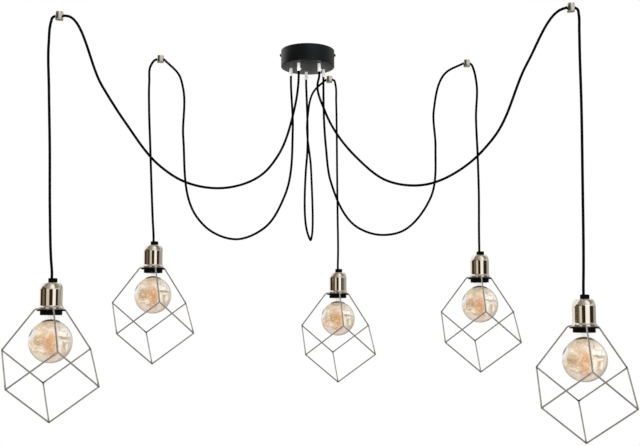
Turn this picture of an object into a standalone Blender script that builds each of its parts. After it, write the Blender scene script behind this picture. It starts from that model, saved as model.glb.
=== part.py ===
"""Cluster pendant light: a round ceiling canopy feeds five fabric-covered cords. Each cord swags to
a small ceiling hook, turns down there and carries a bulb holder, a shade ring, a globe bulb and a
wire cage shaped as a cube that stands on one corner.

Metres, +Z up. The origin is the centre of the canopy on the ceiling, +X is to the right of someone
who faces the lamp, and +Y points away from them. The pendants are numbered from left to right."""

import math

import bmesh
import bpy
import numpy as np
from mathutils import Matrix, Vector

# Clearances and cutting
SEAT_GAP = 0.0003
RUNNING_GAP = 0.0004
OVERRUN = 0.002
WELD_DISTANCE = 0.00001

# Cord
CORD_DIAMETER = 0.005
CORD_TAIL_LENGTH = 0.005
CORD_LEAD = 0.010
CORD_BEVEL_RESOLUTION = 1
SWAG_POINTS = 38
DROP_POINTS = 12
FINE_STEPS = 24

# Canopy and the bracket that holds it
CANOPY_DIAMETER = 0.116
CANOPY_HEIGHT = 0.0356
CANOPY_WALL = 0.0015
CANOPY_EDGE_CHAMFER = 0.0008
CANOPY_SIDES = 28
BRACKET_WIDTH = 0.018
BRACKET_THICKNESS = 0.002
BRACKET_EAR_HEIGHT = 0.014
BRACKET_SLOT_WIDTH = 0.005
BRACKET_SLOT_LENGTH = 0.014
BRACKET_SLOT_SPACING = 0.060
CANOPY_SCREW_DROP = 0.009
CANOPY_SCREW_DIAMETER = 0.0034
CANOPY_SCREW_HEAD_DIAMETER = 0.0066
CANOPY_SCREW_HEAD_HEIGHT = 0.0024
CANOPY_SCREW_SIDES = 10
TERMINAL_LENGTH = 0.034
TERMINAL_WIDTH = 0.017
TERMINAL_HEIGHT = 0.012
TERMINAL_GROOVE_WIDTH = 0.003
TERMINAL_GROOVE_DEPTH = 0.006
TERMINAL_POLES = 3

# Cord grips in the canopy floor
GRIP_CIRCLE_DIAMETER = 0.075
GRIP_CIRCLE_TURN = math.radians(6)
GRIP_DIAMETER = 0.0078
GRIP_BORE = 0.0061
GRIP_LENGTH = 0.0175
GRIP_CHAMFER = 0.0006
GRIP_NECK_DIAMETER = 0.0068
GRIP_NUT_DIAMETER = 0.0110
GRIP_NUT_HEIGHT = 0.003
GRIP_SIDES = 8

# Ceiling hooks
HOOK_DIAMETER = 0.015
HOOK_HEIGHT = 0.0155
HOOK_CHAMFER = 0.0008
HOOK_BORE = 0.0061
HOOK_BORE_DROP = 0.0075
HOOK_SIDES = 14
HOOK_BORE_SIDES = 8
HOOK_REACH = 0.490
LONGEST_DROP = 0.595

# Places of the five hooks and lamps, left to right, as shares of the reach and of the longest drop
hook_side_shares = (-0.955, -0.667, 0.100, 0.729, 1.000)
hook_depth_shares = (-0.496, 0.067, 0.403, 0.133, -0.586)
lamp_side_shares = (-0.964, -0.688, 0.141, 0.777, 1.027)
lamp_drop_shares = (0.947, 0.791, 0.877, 0.824, 1.000)
cage_turns = tuple(math.radians(turn) for turn in (24.8, 19.5, 6.6, -3.0, -9.2))

# Each pendant's cord leaves the canopy by the grip at this angle before the circle is turned
grip_angles = tuple(math.radians(angle) for angle in (234, 162, 90, 18, 306))

# Side of its hook on which each pendant's cord goes down
drop_sides = (-1, -1, 1, 1, 1)

# Bulb holder, measured from the seat of the cage plate
LAMP_SIDES = 14
CUP_DIAMETER = 0.042
CUP_HEIGHT = 0.048
CUP_WALL = 0.0012
CUP_SHOULDER_HEIGHT = 0.0125
CUP_TOP_DIAMETER = 0.0328
CUP_FOOT_DIAMETER = 0.0438
CUP_LIP_DIAMETER = 0.0464
CUP_LIP_HEIGHT = 0.0007
CUP_FLARE_HEIGHT = 0.0024
CORD_CLAMP_DIAMETER = 0.0165
CORD_CLAMP_HEIGHT = 0.0082
CORD_CLAMP_OFFSET = 0.0021
CORD_CLAMP_BORE = 0.0061
CORD_CLAMP_CHAMFER = 0.0007
CORD_CLAMP_SIDES = 10
NIPPLE_DIAMETER = 0.0098
NIPPLE_LENGTH = 0.005
NIPPLE_SIDES = 8
SOCKET_THREAD_DIAMETER = 0.034
SOCKET_THREAD_LENGTH = 0.0105
SOCKET_HEADROOM = 0.0063
SOCKET_SHOULDER_HEIGHT = 0.006
SOCKET_TOP_DIAMETER = 0.028
SOCKET_BORE = 0.027
SOCKET_MOUTH_DIAMETER = 0.0304
SOCKET_MOUTH_DEPTH = 0.006
SHADE_RING_DIAMETER = 0.0515
SHADE_RING_FLANGE = 0.0025
SHADE_RING_SKIRT_DIAMETER = 0.040
SHADE_RING_SKIRT = 0.0075
SCREW_ON_GAP = 0.0007

# Globe bulb
GLOBE_DIAMETER = 0.080
GLASS_WALL = 0.001
GLASS_NECK_DIAMETER = 0.0264
GLASS_NECK_FLARE = 0.0012
GLASS_NECK_LENGTH = 0.010
GLASS_SHOULDER_LENGTH = 0.0077
GLASS_SIDES = 12
GLASS_OUTER_RINGS = 7
GLASS_INNER_RINGS = 5
GLOBE_START = math.radians(28)
CAP_DIAMETER = 0.026
CAP_LENGTH = 0.027
CAP_SHELL_SHARE = 0.74
CAP_CONTACT_DIAMETER = 0.0095
CAP_CONTACT_HEIGHT = 0.002
CAP_SIDES = 10
STEM_FOOT_DIAMETER = 0.018
STEM_DIAMETER = 0.006
STEM_LENGTH = 0.030
SUPPORT_DIAMETER = 0.0024
SUPPORT_LENGTH = 0.036
SUPPORT_HUB_DIAMETER = 0.0092
SUPPORT_HUB_HEIGHT = 0.0014
FILAMENT_DIAMETER = 0.0012
FILAMENT_STRANDS = 4
FILAMENT_SIDES = 3

# Wire cage: a cube on its corner, with three struts up to a plate under the cup
CAGE_EDGE = 0.1146
CAGE_WIRE = 0.0028
CAGE_WIRE_SIDES = 5
CAGE_WIRE_ROLL = 0.31
CAGE_STRUT_RISE = 0.076
CAGE_STRUT_REACH = 0.0311
CAGE_STRUT_LIFT = 0.0006
CAGE_BEND_RADIUS = 0.008
CAGE_BEND_STEPS = 3
CAGE_PLATE_DIAMETER = 0.048
CAGE_PLATE_THICKNESS = 0.0016

# Shape of each swag from below its grip to the mouth of its hook. Each point is a share of the way
# across, a share of that swag's sag, and a share of the way by which it bows aside.
SWAG_SAG = 0.356
swag_sag_shares = (0.733, 0.989, 1.000, 0.964, 0.731)
swag_point_shares = (
    ((0.028, 0.379, 0.00), (0.095, 0.709, 0.00), (0.162, 0.865, 0.00), (0.342, 1.007, 0.00),
     (0.533, 0.961, 0.00), (0.608, 0.877, 0.00), (0.753, 0.566, 0.00), (0.847, 0.309, 0.00),
     (0.993, -0.172, 0.01)),
    ((-0.015, 0.340, 0.00), (0.049, 0.752, 0.00), (0.192, 0.937, 0.00), (0.410, 1.012, 0.00),
     (0.646, 0.942, 0.00), (0.708, 0.891, 0.00), (0.839, 0.374, 0.00), (0.846, 0.053, 0.00),
     (0.869, -0.013, 0.00)),
    ((0.040, 0.082, 0.007), (0.120, 0.460, 0.021), (0.240, 0.548, 0.075), (0.380, 0.941, 0.092),
     (0.520, 0.979, 0.093), (0.660, 0.951, 0.116), (0.790, 0.497, 0.164), (0.900, 0.140, 0.250),
     (0.960, -0.050, 0.170)),
    ((0.017, 0.448, 0.00), (0.051, 0.673, 0.00), (0.244, 0.965, 0.00), (0.362, 1.003, 0.00),
     (0.526, 0.989, 0.00), (0.753, 0.761, 0.00), (0.792, 0.427, 0.00), (0.785, 0.183, 0.01),
     (0.880, -0.073, 0.01)),
    ((-0.007, 0.092, 0.00), (0.029, 0.346, 0.00), (0.175, 0.756, 0.00), (0.303, 0.954, 0.00),
     (0.463, 1.008, 0.00), (0.638, 0.871, 0.00), (0.731, 0.698, 0.00), (0.858, 0.180, 0.00),
     (0.985, -0.154, -0.02)),
)

# Shape of each drop from its hook to the clamp. Each point is a share of the stand-off from a
# straight fall, and a share of the way down.
DROP_STANDOFF = 0.020
drop_point_shares = (
    ((0.640, 0.006), (0.776, 0.023), (0.936, 0.105), (0.786, 0.285), (0.548, 0.505),
     (0.360, 0.745), (0.130, 0.925)),
    ((0.652, 0.007), (1.019, 0.033), (1.140, 0.129), (1.045, 0.276), (0.807, 0.448),
     (0.530, 0.645), (0.160, 0.891)),
    ((0.595, 0.005), (0.711, 0.025), (0.712, 0.119), (0.619, 0.272), (0.456, 0.470),
     (0.264, 0.719), (0.105, 0.922)),
    ((0.543, 0.007), (0.720, 0.029), (0.952, 0.100), (0.641, 0.292), (0.548, 0.486),
     (0.394, 0.686), (0.088, 0.920)),
    ((0.625, 0.006), (0.713, 0.024), (0.698, 0.080), (0.647, 0.161), (0.591, 0.325),
     (0.380, 0.607), (0.110, 0.908)),
)


def finish(name, colour, metallic, roughness):
    """A plain material for one sub-part's surface."""
    material = bpy.data.materials.new(name)
    material.use_nodes = True
    shader = material.node_tree.nodes["Principled BSDF"]
    shader.inputs["Base Color"].default_value = (*colour, 1)
    shader.inputs["Metallic"].default_value = metallic
    shader.inputs["Roughness"].default_value = roughness
    return material


def place(name, mesh, material, location=(0, 0, 0), turn=0, parent=None):
    """One named object for one sub-part, shaded smooth except at its sharp edges."""
    shape = mesh.copy()
    shape.name = name
    shape.materials.clear()
    shape.materials.append(finish(name, *material))
    shape.shade_smooth()
    shape.set_sharp_from_angle(angle=math.radians(35))
    piece = bpy.data.objects.new(name, shape)
    piece.location = location
    piece.rotation_euler = (0, 0, turn)
    piece.parent = parent
    bpy.context.collection.objects.link(piece)
    return piece


def turned(outline, sides, closed=True):
    """A mesh turned about Z from an outline of (radius, height) points. A closed outline makes a
    ring or a tube. An open one starts and ends on the axis and makes a solid."""
    form = bmesh.new()
    points = [form.verts.new((radius, 0, height)) for radius, height in outline]
    following = points[1:] + points[:1] if closed else points[1:]
    edges = [form.edges.new(pair) for pair in zip(points, following)]
    bmesh.ops.spin(form, geom=points + edges, cent=(0, 0, 0), axis=(0, 0, 1), angle=2 * math.pi,
                   steps=sides, use_merge=True)
    return finished_mesh(form)


def extruded(outline, depth, across="Y"):
    """A mesh of a flat outline of (x, z) or (x, y) points, extruded evenly to both sides."""
    form = bmesh.new()
    half = depth / 2
    if across == "Y":
        ends = [[form.verts.new((x, side * half, z)) for x, z in outline] for side in (-1, 1)]
    else:
        ends = [[form.verts.new((x, y, side * half)) for x, y in outline] for side in (-1, 1)]
    for end in ends:
        form.faces.new(end)
    bmesh.ops.bridge_loops(form, edges=form.edges[:])
    return finished_mesh(form)


def finished_mesh(form):
    """Welds what meets on an axis, turns every face outwards and hands over the mesh."""
    bmesh.ops.remove_doubles(form, verts=form.verts, dist=WELD_DISTANCE)
    bmesh.ops.dissolve_degenerate(form, edges=form.edges, dist=WELD_DISTANCE)
    bmesh.ops.recalc_face_normals(form, faces=form.faces)
    mesh = bpy.data.meshes.new("form")
    form.to_mesh(mesh)
    form.free()
    return mesh


def moved(mesh, matrix):
    """A copy of a mesh, moved by a matrix."""
    copy = mesh.copy()
    copy.transform(matrix)
    return copy


def merged(meshes):
    """Several meshes in one, still as separate shells."""
    form = bmesh.new()
    for mesh in meshes:
        form.from_mesh(mesh)
    mesh = bpy.data.meshes.new("form")
    form.to_mesh(mesh)
    form.free()
    return mesh


def carved(mesh, tool, operation):
    """The mesh after one exact Boolean with a tool, whose own shells may overlap each other."""
    bodies = [bpy.data.objects.new("carving", shape) for shape in (mesh, tool)]
    for body in bodies:
        bpy.context.collection.objects.link(body)
    boolean = bodies[0].modifiers.new("carve", "BOOLEAN")
    boolean.operation = operation
    boolean.object = bodies[1]
    boolean.solver = "EXACT"
    boolean.use_self = True
    depsgraph = bpy.context.evaluated_depsgraph_get()
    form = bmesh.new()
    form.from_object(bodies[0], depsgraph)
    for body in bodies:
        bpy.data.objects.remove(body)
    return finished_mesh(form)


def rod(start, end, diameter, sides, roll=0):
    """A straight bar of wire between two points, turned by roll about its own length."""
    start, end = Vector(start), Vector(end)
    run = end - start
    form = bmesh.new()
    bmesh.ops.create_cone(form, cap_ends=True, segments=sides, radius1=diameter / 2,
                          radius2=diameter / 2, depth=run.length)
    turn = run.to_track_quat("Z", "Y").to_matrix().to_4x4() @ Matrix.Rotation(roll, 4, "Z")
    bmesh.ops.transform(form, matrix=Matrix.Translation((start + end) / 2) @ turn, verts=form.verts)
    mesh = bpy.data.meshes.new("form")
    form.to_mesh(mesh)
    form.free()
    return mesh


def smooth_route(route, count):
    """Points along a smooth curve through a route, closer together where it bends."""
    route = np.array(route)
    chords = np.linalg.norm(np.diff(route, axis=0), axis=1)
    knots = np.concatenate(([0], np.cumsum(chords)))
    slopes = np.gradient(route, knots, axis=0)
    slopes[0] = (route[1] - route[0]) / chords[0]
    slopes[-1] = (route[-1] - route[-2]) / chords[-1]
    share = np.linspace(0, 1, FINE_STEPS, endpoint=False)[:, None]
    runs = []
    for index, chord in enumerate(chords):
        runs.append((2 * share**3 - 3 * share**2 + 1) * route[index]
                    + (share**3 - 2 * share**2 + share) * chord * slopes[index]
                    + (3 * share**2 - 2 * share**3) * route[index + 1]
                    + (share**3 - share**2) * chord * slopes[index + 1])
    fine = np.vstack(runs + [route[-1:]])
    steps = np.diff(fine, axis=0)
    lengths = np.linalg.norm(steps, axis=1)
    headings = steps / lengths[:, None]
    turns = np.arccos(np.clip(np.sum(headings[1:] * headings[:-1], axis=1), -1, 1))
    effort = lengths / lengths.sum()
    effort[1:] += turns / turns.sum()
    travelled = np.concatenate(([0], np.cumsum(effort)))
    wanted = np.linspace(0, travelled[-1], count)
    return np.column_stack([np.interp(wanted, travelled, fine[:, axis]) for axis in range(3)])


def cord(name, route, count, origin=(0, 0, 0), parent=None):
    """A round cord: a tube along its route, straight at both ends and smooth between them."""
    curve = bpy.data.curves.new(name, "CURVE")
    curve.dimensions = "3D"
    curve.bevel_depth = CORD_DIAMETER / 2
    curve.bevel_resolution = CORD_BEVEL_RESOLUTION
    curve.use_fill_caps = True
    spline = curve.splines.new("POLY")
    points = np.vstack([route[0], smooth_route(route[1:-1], count), route[-1]]) - np.array(origin)
    spline.points.add(len(points) - 1)
    spline.points.foreach_set("co", np.column_stack([points, np.ones(len(points))]).ravel())
    curve.materials.append(finish(name, *BLACK_FABRIC))
    piece = bpy.data.objects.new(name, curve)
    piece.location = Vector(origin) - (parent.location if parent else Vector())
    piece.parent = parent
    bpy.context.collection.objects.link(piece)
    return piece


def empty(name, location, parent=None):
    """An axis that moving pieces hang on."""
    axis = bpy.data.objects.new(name, None)
    axis.location = location
    axis.parent = parent
    bpy.context.collection.objects.link(axis)
    return axis


# Finishes: colour, metallic and roughness
BLACK_PAINT = ((0.022, 0.023, 0.026), 0.0, 0.42)
BLACK_PLASTIC = ((0.012, 0.011, 0.010), 0.0, 0.35)
BLACK_FABRIC = ((0.010, 0.010, 0.011), 0.0, 0.85)
BRIGHT_NICKEL = ((0.78, 0.76, 0.71), 1.0, 0.12)
SATIN_NICKEL = ((0.46, 0.44, 0.40), 1.0, 0.38)
ZINC_STEEL = ((0.60, 0.61, 0.63), 1.0, 0.35)
WHITE_CERAMIC = ((0.80, 0.79, 0.76), 0.0, 0.40)
WHITE_NYLON = ((0.86, 0.86, 0.84), 0.0, 0.35)
BRASS = ((0.72, 0.56, 0.28), 1.0, 0.30)
SMOKED_GLASS = ((0.80, 0.62, 0.44), 0.2, 0.08)


def hook_place(index):
    """Where a hook stands on the ceiling."""
    return HOOK_REACH * hook_side_shares[index], HOOK_REACH * hook_depth_shares[index]


def grip_place(index):
    """Where a pendant's cord leaves the canopy."""
    angle = grip_angles[index] + GRIP_CIRCLE_TURN
    radius = GRIP_CIRCLE_DIAMETER / 2
    return radius * math.cos(angle), radius * math.sin(angle)


def canopy_cup():
    """A pressed cup, open at the ceiling, with a hole for each grip and two for its screws."""
    outer = CANOPY_DIAMETER / 2
    inner = outer - CANOPY_WALL
    floor = -CANOPY_HEIGHT
    shell = turned(((0, floor), (outer - CANOPY_EDGE_CHAMFER, floor),
                    (outer, floor + CANOPY_EDGE_CHAMFER), (outer, 0), (inner, 0),
                    (inner, floor + CANOPY_WALL), (0, floor + CANOPY_WALL)),
                   CANOPY_SIDES, closed=False)
    cutters = []
    for index in range(len(grip_angles)):
        x, y = grip_place(index)
        cutters.append(rod((x, y, floor - OVERRUN), (x, y, floor + CANOPY_WALL + OVERRUN),
                           GRIP_NECK_DIAMETER + 2 * RUNNING_GAP, GRIP_SIDES))
    for side in (-1, 1):
        cutters.append(rod((side * (inner - OVERRUN), 0, -CANOPY_SCREW_DROP),
                           (side * (outer + OVERRUN), 0, -CANOPY_SCREW_DROP),
                           CANOPY_SCREW_DIAMETER + 2 * RUNNING_GAP, CANOPY_SCREW_SIDES))
    place("canopy_cup", carved(shell, merged(cutters), "DIFFERENCE"), BLACK_PAINT)


def ceiling_bracket():
    """A strap across the canopy with two ears bent down, which the canopy's screws go into."""
    half = CANOPY_DIAMETER / 2 - CANOPY_WALL - 2 * SEAT_GAP
    inside = half - BRACKET_THICKNESS
    strap = extruded(((-half, 0), (half, 0), (half, -BRACKET_EAR_HEIGHT),
                      (inside, -BRACKET_EAR_HEIGHT), (inside, -BRACKET_THICKNESS),
                      (-inside, -BRACKET_THICKNESS), (-inside, -BRACKET_EAR_HEIGHT),
                      (-half, -BRACKET_EAR_HEIGHT)), BRACKET_WIDTH)
    corner = math.hypot(half, BRACKET_WIDTH / 2)
    trim = turned(((0, -BRACKET_EAR_HEIGHT - OVERRUN), (half, -BRACKET_EAR_HEIGHT - OVERRUN),
                   (half, OVERRUN), (0, OVERRUN)), CANOPY_SIDES, closed=False)
    cutters = []
    for side in (-1, 1):
        middle = side * BRACKET_SLOT_SPACING / 2
        reach = (BRACKET_SLOT_LENGTH - BRACKET_SLOT_WIDTH) / 2
        width = BRACKET_SLOT_WIDTH / 2
        slot = [(middle + end * reach + end * width * math.cos(angle), width * math.sin(angle))
                for end in (1, -1)
                for angle in (math.radians(step) * end for step in (-90, -45, 0, 45, 90))]
        cutters.append(extruded(slot, 2 * (BRACKET_THICKNESS + OVERRUN), across="Z"))
        cutters.append(rod((side * (inside - OVERRUN), 0, -CANOPY_SCREW_DROP),
                           (side * (corner + OVERRUN), 0, -CANOPY_SCREW_DROP),
                           CANOPY_SCREW_DIAMETER + 2 * RUNNING_GAP, CANOPY_SCREW_SIDES))
    rounded = carved(strap, trim, "INTERSECT")
    place("ceiling_bracket", carved(rounded, merged(cutters), "DIFFERENCE"), ZINC_STEEL)


def canopy_screws():
    """Two round-headed screws that hold the canopy to the bracket's ears."""
    outer = CANOPY_DIAMETER / 2
    head, shank = CANOPY_SCREW_HEAD_DIAMETER / 2, CANOPY_SCREW_DIAMETER / 2
    length = CANOPY_WALL + SEAT_GAP + BRACKET_THICKNESS + 2 * OVERRUN
    dome_share = 0.55
    screw = turned(((0, -length), (shank, -length), (shank, SEAT_GAP), (head, SEAT_GAP),
                    (head, SEAT_GAP + CANOPY_SCREW_HEAD_HEIGHT * (1 - dome_share)),
                    (head * dome_share, SEAT_GAP + CANOPY_SCREW_HEAD_HEIGHT),
                    (0, SEAT_GAP + CANOPY_SCREW_HEAD_HEIGHT)), CANOPY_SCREW_SIDES, closed=False)
    for number, side in enumerate((-1, 1), 1):
        turn = Matrix.Rotation(side * math.radians(90), 4, "Y")
        place(f"canopy_screw_{number}", moved(screw, turn), BLACK_PAINT,
              (side * outer, 0, -CANOPY_SCREW_DROP))


def terminal_block():
    """The connector strip under the bracket, with a groove between its poles."""
    top = -BRACKET_THICKNESS - SEAT_GAP
    bottom = top - TERMINAL_HEIGHT
    half = TERMINAL_LENGTH / 2
    pole = (TERMINAL_LENGTH - (TERMINAL_POLES - 1) * TERMINAL_GROOVE_WIDTH) / TERMINAL_POLES
    outline = [(-half, top)]
    for index in range(TERMINAL_POLES):
        start = -half + index * (pole + TERMINAL_GROOVE_WIDTH)
        if index:
            outline.append((start, bottom + TERMINAL_GROOVE_DEPTH))
        outline += [(start, bottom), (start + pole, bottom)]
        if index < TERMINAL_POLES - 1:
            outline.append((start + pole, bottom + TERMINAL_GROOVE_DEPTH))
    outline.append((half, top))
    place("terminal_block", extruded(outline, TERMINAL_WIDTH), WHITE_CERAMIC)


def grip_form():
    """A cord grip: a sleeve below the canopy floor, a neck through it and a nut above it."""
    bore, sleeve = GRIP_BORE / 2, GRIP_DIAMETER / 2
    neck, nut = GRIP_NECK_DIAMETER / 2, GRIP_NUT_DIAMETER / 2
    nut_seat = CANOPY_WALL + SEAT_GAP
    return turned(((bore, -GRIP_LENGTH), (sleeve - GRIP_CHAMFER, -GRIP_LENGTH),
                   (sleeve, -GRIP_LENGTH + GRIP_CHAMFER), (sleeve, -SEAT_GAP), (neck, -SEAT_GAP),
                   (neck, nut_seat), (nut, nut_seat), (nut, nut_seat + GRIP_NUT_HEIGHT),
                   (bore, nut_seat + GRIP_NUT_HEIGHT)), GRIP_SIDES)


def hook_form():
    """A ceiling hook: a short drum with a bore across it, which the cord runs through."""
    radius = HOOK_DIAMETER / 2
    drum = turned(((0, -HOOK_HEIGHT), (radius - HOOK_CHAMFER, -HOOK_HEIGHT),
                   (radius, -HOOK_HEIGHT + HOOK_CHAMFER), (radius, 0), (0, 0)),
                  HOOK_SIDES, closed=False)
    bore = rod((-radius - OVERRUN, 0, -HOOK_BORE_DROP), (radius + OVERRUN, 0, -HOOK_BORE_DROP),
               HOOK_BORE, HOOK_BORE_SIDES)
    return carved(drum, bore, "DIFFERENCE")


def cup_form():
    """The holder's metal cup: a straight wall, a rounded shoulder and, over a narrower foot that
    stands between the struts, a lip that flares out just above them."""
    wall, top = CUP_DIAMETER / 2, CUP_TOP_DIAMETER / 2
    foot, lip = CUP_FOOT_DIAMETER / 2, CUP_LIP_DIAMETER / 2
    base = CAGE_PLATE_THICKNESS / 2 + SEAT_GAP
    under = CAGE_STRUT_LIFT + CAGE_WIRE / 2 + SEAT_GAP
    over = under + CUP_LIP_HEIGHT
    crown = base + CUP_HEIGHT
    shoulder = crown - CUP_SHOULDER_HEIGHT
    hole = NIPPLE_DIAMETER / 2 + RUNNING_GAP
    bulge_share = 0.62
    bulge = (top + (wall - top) * bulge_share, shoulder + CUP_SHOULDER_HEIGHT * bulge_share)
    return turned(((foot, base), (foot, under), (lip, under), (lip, over),
                   (wall, over + CUP_FLARE_HEIGHT), (wall, shoulder), bulge, (top, crown),
                   (hole, crown), (hole, crown - CUP_WALL), (top - CUP_WALL, crown - CUP_WALL),
                   (wall - CUP_WALL, shoulder), (wall - CUP_WALL, base)), LAMP_SIDES)


def clamp_form():
    """The cord clamp on the cup: a knob set a little to one side of the cord, over a nipple."""
    crown = CAGE_PLATE_THICKNESS / 2 + 2 * SEAT_GAP + CUP_HEIGHT
    radius = CORD_CLAMP_DIAMETER / 2
    top = crown + CORD_CLAMP_HEIGHT
    knob = turned(((0, crown), (radius, crown), (radius, top - CORD_CLAMP_CHAMFER),
                   (radius - CORD_CLAMP_CHAMFER, top), (0, top)), CORD_CLAMP_SIDES, closed=False)
    knob.transform(Matrix.Translation((CORD_CLAMP_OFFSET, 0, 0)))
    nipple = rod((0, 0, crown - NIPPLE_LENGTH), (0, 0, crown + OVERRUN), NIPPLE_DIAMETER,
                 NIPPLE_SIDES)
    bore = rod((0, 0, crown - NIPPLE_LENGTH - OVERRUN), (0, 0, top + OVERRUN), CORD_CLAMP_BORE,
               CORD_CLAMP_SIDES)
    return carved(carved(knob, nipple, "UNION"), bore, "DIFFERENCE")


def socket_top():
    """Height of the socket's closed end above the seat of the cage plate, below the cup's crown."""
    return CAGE_PLATE_THICKNESS / 2 + SEAT_GAP + CUP_HEIGHT - CUP_WALL - SOCKET_HEADROOM


def bulb_top():
    """Height of the bulb's centre contact above the seat of the cage plate."""
    return CAP_LENGTH - cap_depth()


def cap_depth():
    """Depth of the cap's foot below the seat of the cage plate, with the bulb screwed home."""
    return CAGE_PLATE_THICKNESS / 2 + SOCKET_MOUTH_DEPTH


def globe_drop():
    """Depth of the globe's centre below the seat of the cage plate."""
    return (cap_depth() + GLASS_NECK_LENGTH + GLASS_SHOULDER_LENGTH
            + GLOBE_DIAMETER / 2 * math.cos(GLOBE_START))


def socket_form():
    """The insulating bulb socket: a thimble in the cup, with a threaded sleeve below it."""
    sleeve, bore = SOCKET_THREAD_DIAMETER / 2, SOCKET_BORE / 2
    mouth = SOCKET_MOUTH_DIAMETER / 2
    body = CUP_DIAMETER / 2 - CUP_WALL - SCREW_ON_GAP
    seat = CAGE_PLATE_THICKNESS / 2 + SEAT_GAP
    top = socket_top()
    foot = -SOCKET_THREAD_LENGTH
    mouth_top = foot + SOCKET_MOUTH_DEPTH
    contact = bulb_top() + SEAT_GAP
    cone = contact - CAP_CONTACT_HEIGHT
    return turned(((0, contact), (CAP_CONTACT_DIAMETER / 2, contact), (bore, cone),
                   (bore, mouth_top), (mouth, mouth_top), (mouth, foot), (sleeve, foot),
                   (sleeve, seat), (body, seat), (body, top - SOCKET_SHOULDER_HEIGHT),
                   (SOCKET_TOP_DIAMETER / 2, top), (0, top)), LAMP_SIDES, closed=False)


def shade_ring_form():
    """The threaded shade ring that clamps the cage plate: a flange over a skirt."""
    bore = SOCKET_THREAD_DIAMETER / 2 + SCREW_ON_GAP
    flange, skirt = SHADE_RING_DIAMETER / 2, SHADE_RING_SKIRT_DIAMETER / 2
    top = -CAGE_PLATE_THICKNESS / 2 - SEAT_GAP
    under = top - SHADE_RING_FLANGE
    foot = under - SHADE_RING_SKIRT
    return turned(((bore, top), (flange, top), (flange, under), (skirt, under), (skirt, foot),
                   (bore, foot)), LAMP_SIDES)


def cage_corners():
    """The cube's seven visible corners below its plate: bottom, lower three and upper three."""
    level = CAGE_EDGE / math.sqrt(3)
    radius = CAGE_EDGE * math.sqrt(2 / 3)
    upper_level = -CAGE_STRUT_RISE
    lower_level = upper_level - level
    bottom = Vector((0, 0, lower_level - level))
    third = math.radians(120)
    upper = [Vector((radius * math.sin(step * third), -radius * math.cos(step * third),
                     upper_level)) for step in range(3)]
    lower = [Vector((-radius * math.sin(step * third), radius * math.cos(step * third),
                     lower_level)) for step in range(3)]
    return bottom, lower, upper


def strut_path(corner):
    """A strut's centre line: out from the plate, round a bend and straight to a corner."""
    outward = Vector((corner.x, corner.y, 0)).normalized()
    reach = Vector((corner.x, corner.y, 0)).length
    slope = math.atan2(CAGE_STRUT_RISE, reach - CAGE_STRUT_REACH)
    knee = CAGE_STRUT_REACH - CAGE_STRUT_LIFT / math.tan(slope)
    bend_start = knee - CAGE_BEND_RADIUS * math.tan(slope / 2)
    start = CUP_FOOT_DIAMETER / 2 + 2 * SEAT_GAP
    path = [outward * start + Vector((0, 0, CAGE_STRUT_LIFT))]
    for step in range(CAGE_BEND_STEPS + 1):
        angle = slope * step / CAGE_BEND_STEPS
        out = bend_start + CAGE_BEND_RADIUS * math.sin(angle)
        down = CAGE_BEND_RADIUS * (1 - math.cos(angle))
        path.append(outward * out + Vector((0, 0, CAGE_STRUT_LIFT - down)))
    return path + [corner]


def cage_form():
    """The wire cage in one piece: a plate, three struts and the cube's nine lower edges."""
    plate_radius = CAGE_PLATE_DIAMETER / 2
    bore = SOCKET_THREAD_DIAMETER / 2 + SCREW_ON_GAP
    half = CAGE_PLATE_THICKNESS / 2
    plate = turned(((bore, -half), (plate_radius, -half), (plate_radius, half), (bore, half)),
                   LAMP_SIDES)
    bottom, lower, upper = cage_corners()
    edges = [(bottom, corner) for corner in lower]
    edges += [(foot, corner) for index, corner in enumerate(upper)
              for other, foot in enumerate(lower) if other != index]
    wires = [rod(*edge, CAGE_WIRE, CAGE_WIRE_SIDES, roll=index * CAGE_WIRE_ROLL)
             for index, edge in enumerate(edges)]
    wires += [strut_tube(strut_path(corner)) for corner in upper]
    return carved(plate, merged(wires), "UNION")


def strut_tube(path):
    """A bent wire of even section: rings square to the path, bridged and capped."""
    form = bmesh.new()
    headings = [(after - before).normalized() for before, after in zip(path, path[1:])]
    rings = []
    for index, point in enumerate(path):
        before = headings[max(index - 1, 0)]
        after = headings[min(index, len(headings) - 1)]
        heading = (before + after).normalized()
        side = heading.cross(Vector((0, 0, 1))).normalized()
        rise = side.cross(heading)
        ring = []
        for step in range(CAGE_WIRE_SIDES):
            angle = 2 * math.pi * step / CAGE_WIRE_SIDES
            ring.append(form.verts.new(
                point + (side * math.cos(angle) + rise * math.sin(angle)) * CAGE_WIRE / 2))
        rings.append(ring)
    for first, second in zip(rings, rings[1:]):
        for step in range(CAGE_WIRE_SIDES):
            following = (step + 1) % CAGE_WIRE_SIDES
            form.faces.new((first[step], first[following], second[following], second[step]))
    form.faces.new(rings[0])
    form.faces.new(rings[-1])
    return finished_mesh(form)


def globe_arc(radius, rings):
    """Points of the globe's profile from the neck down to the axis."""
    centre = -globe_drop()
    angles = [GLOBE_START + (math.pi - GLOBE_START) * step / rings for step in range(rings + 1)]
    return [(radius * math.sin(angle) if step < rings else 0, centre + radius * math.cos(angle))
            for step, angle in enumerate(angles)]


def glass_form():
    """The bulb's glass: a globe that flows into a short neck, open at the cap."""
    top = bulb_top() - CAP_LENGTH - SEAT_GAP
    neck = GLASS_NECK_DIAMETER / 2
    globe = GLOBE_DIAMETER / 2
    flared = neck + GLASS_NECK_FLARE
    outer = [(neck, top), (flared, top - GLASS_NECK_LENGTH)] + globe_arc(globe, GLASS_OUTER_RINGS)
    inner = ([(neck - GLASS_WALL, top), (flared - GLASS_WALL, top - GLASS_NECK_LENGTH)]
             + globe_arc(globe - GLASS_WALL, GLASS_INNER_RINGS))
    return turned(outer[::-1] + inner, GLASS_SIDES, closed=False)


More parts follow.
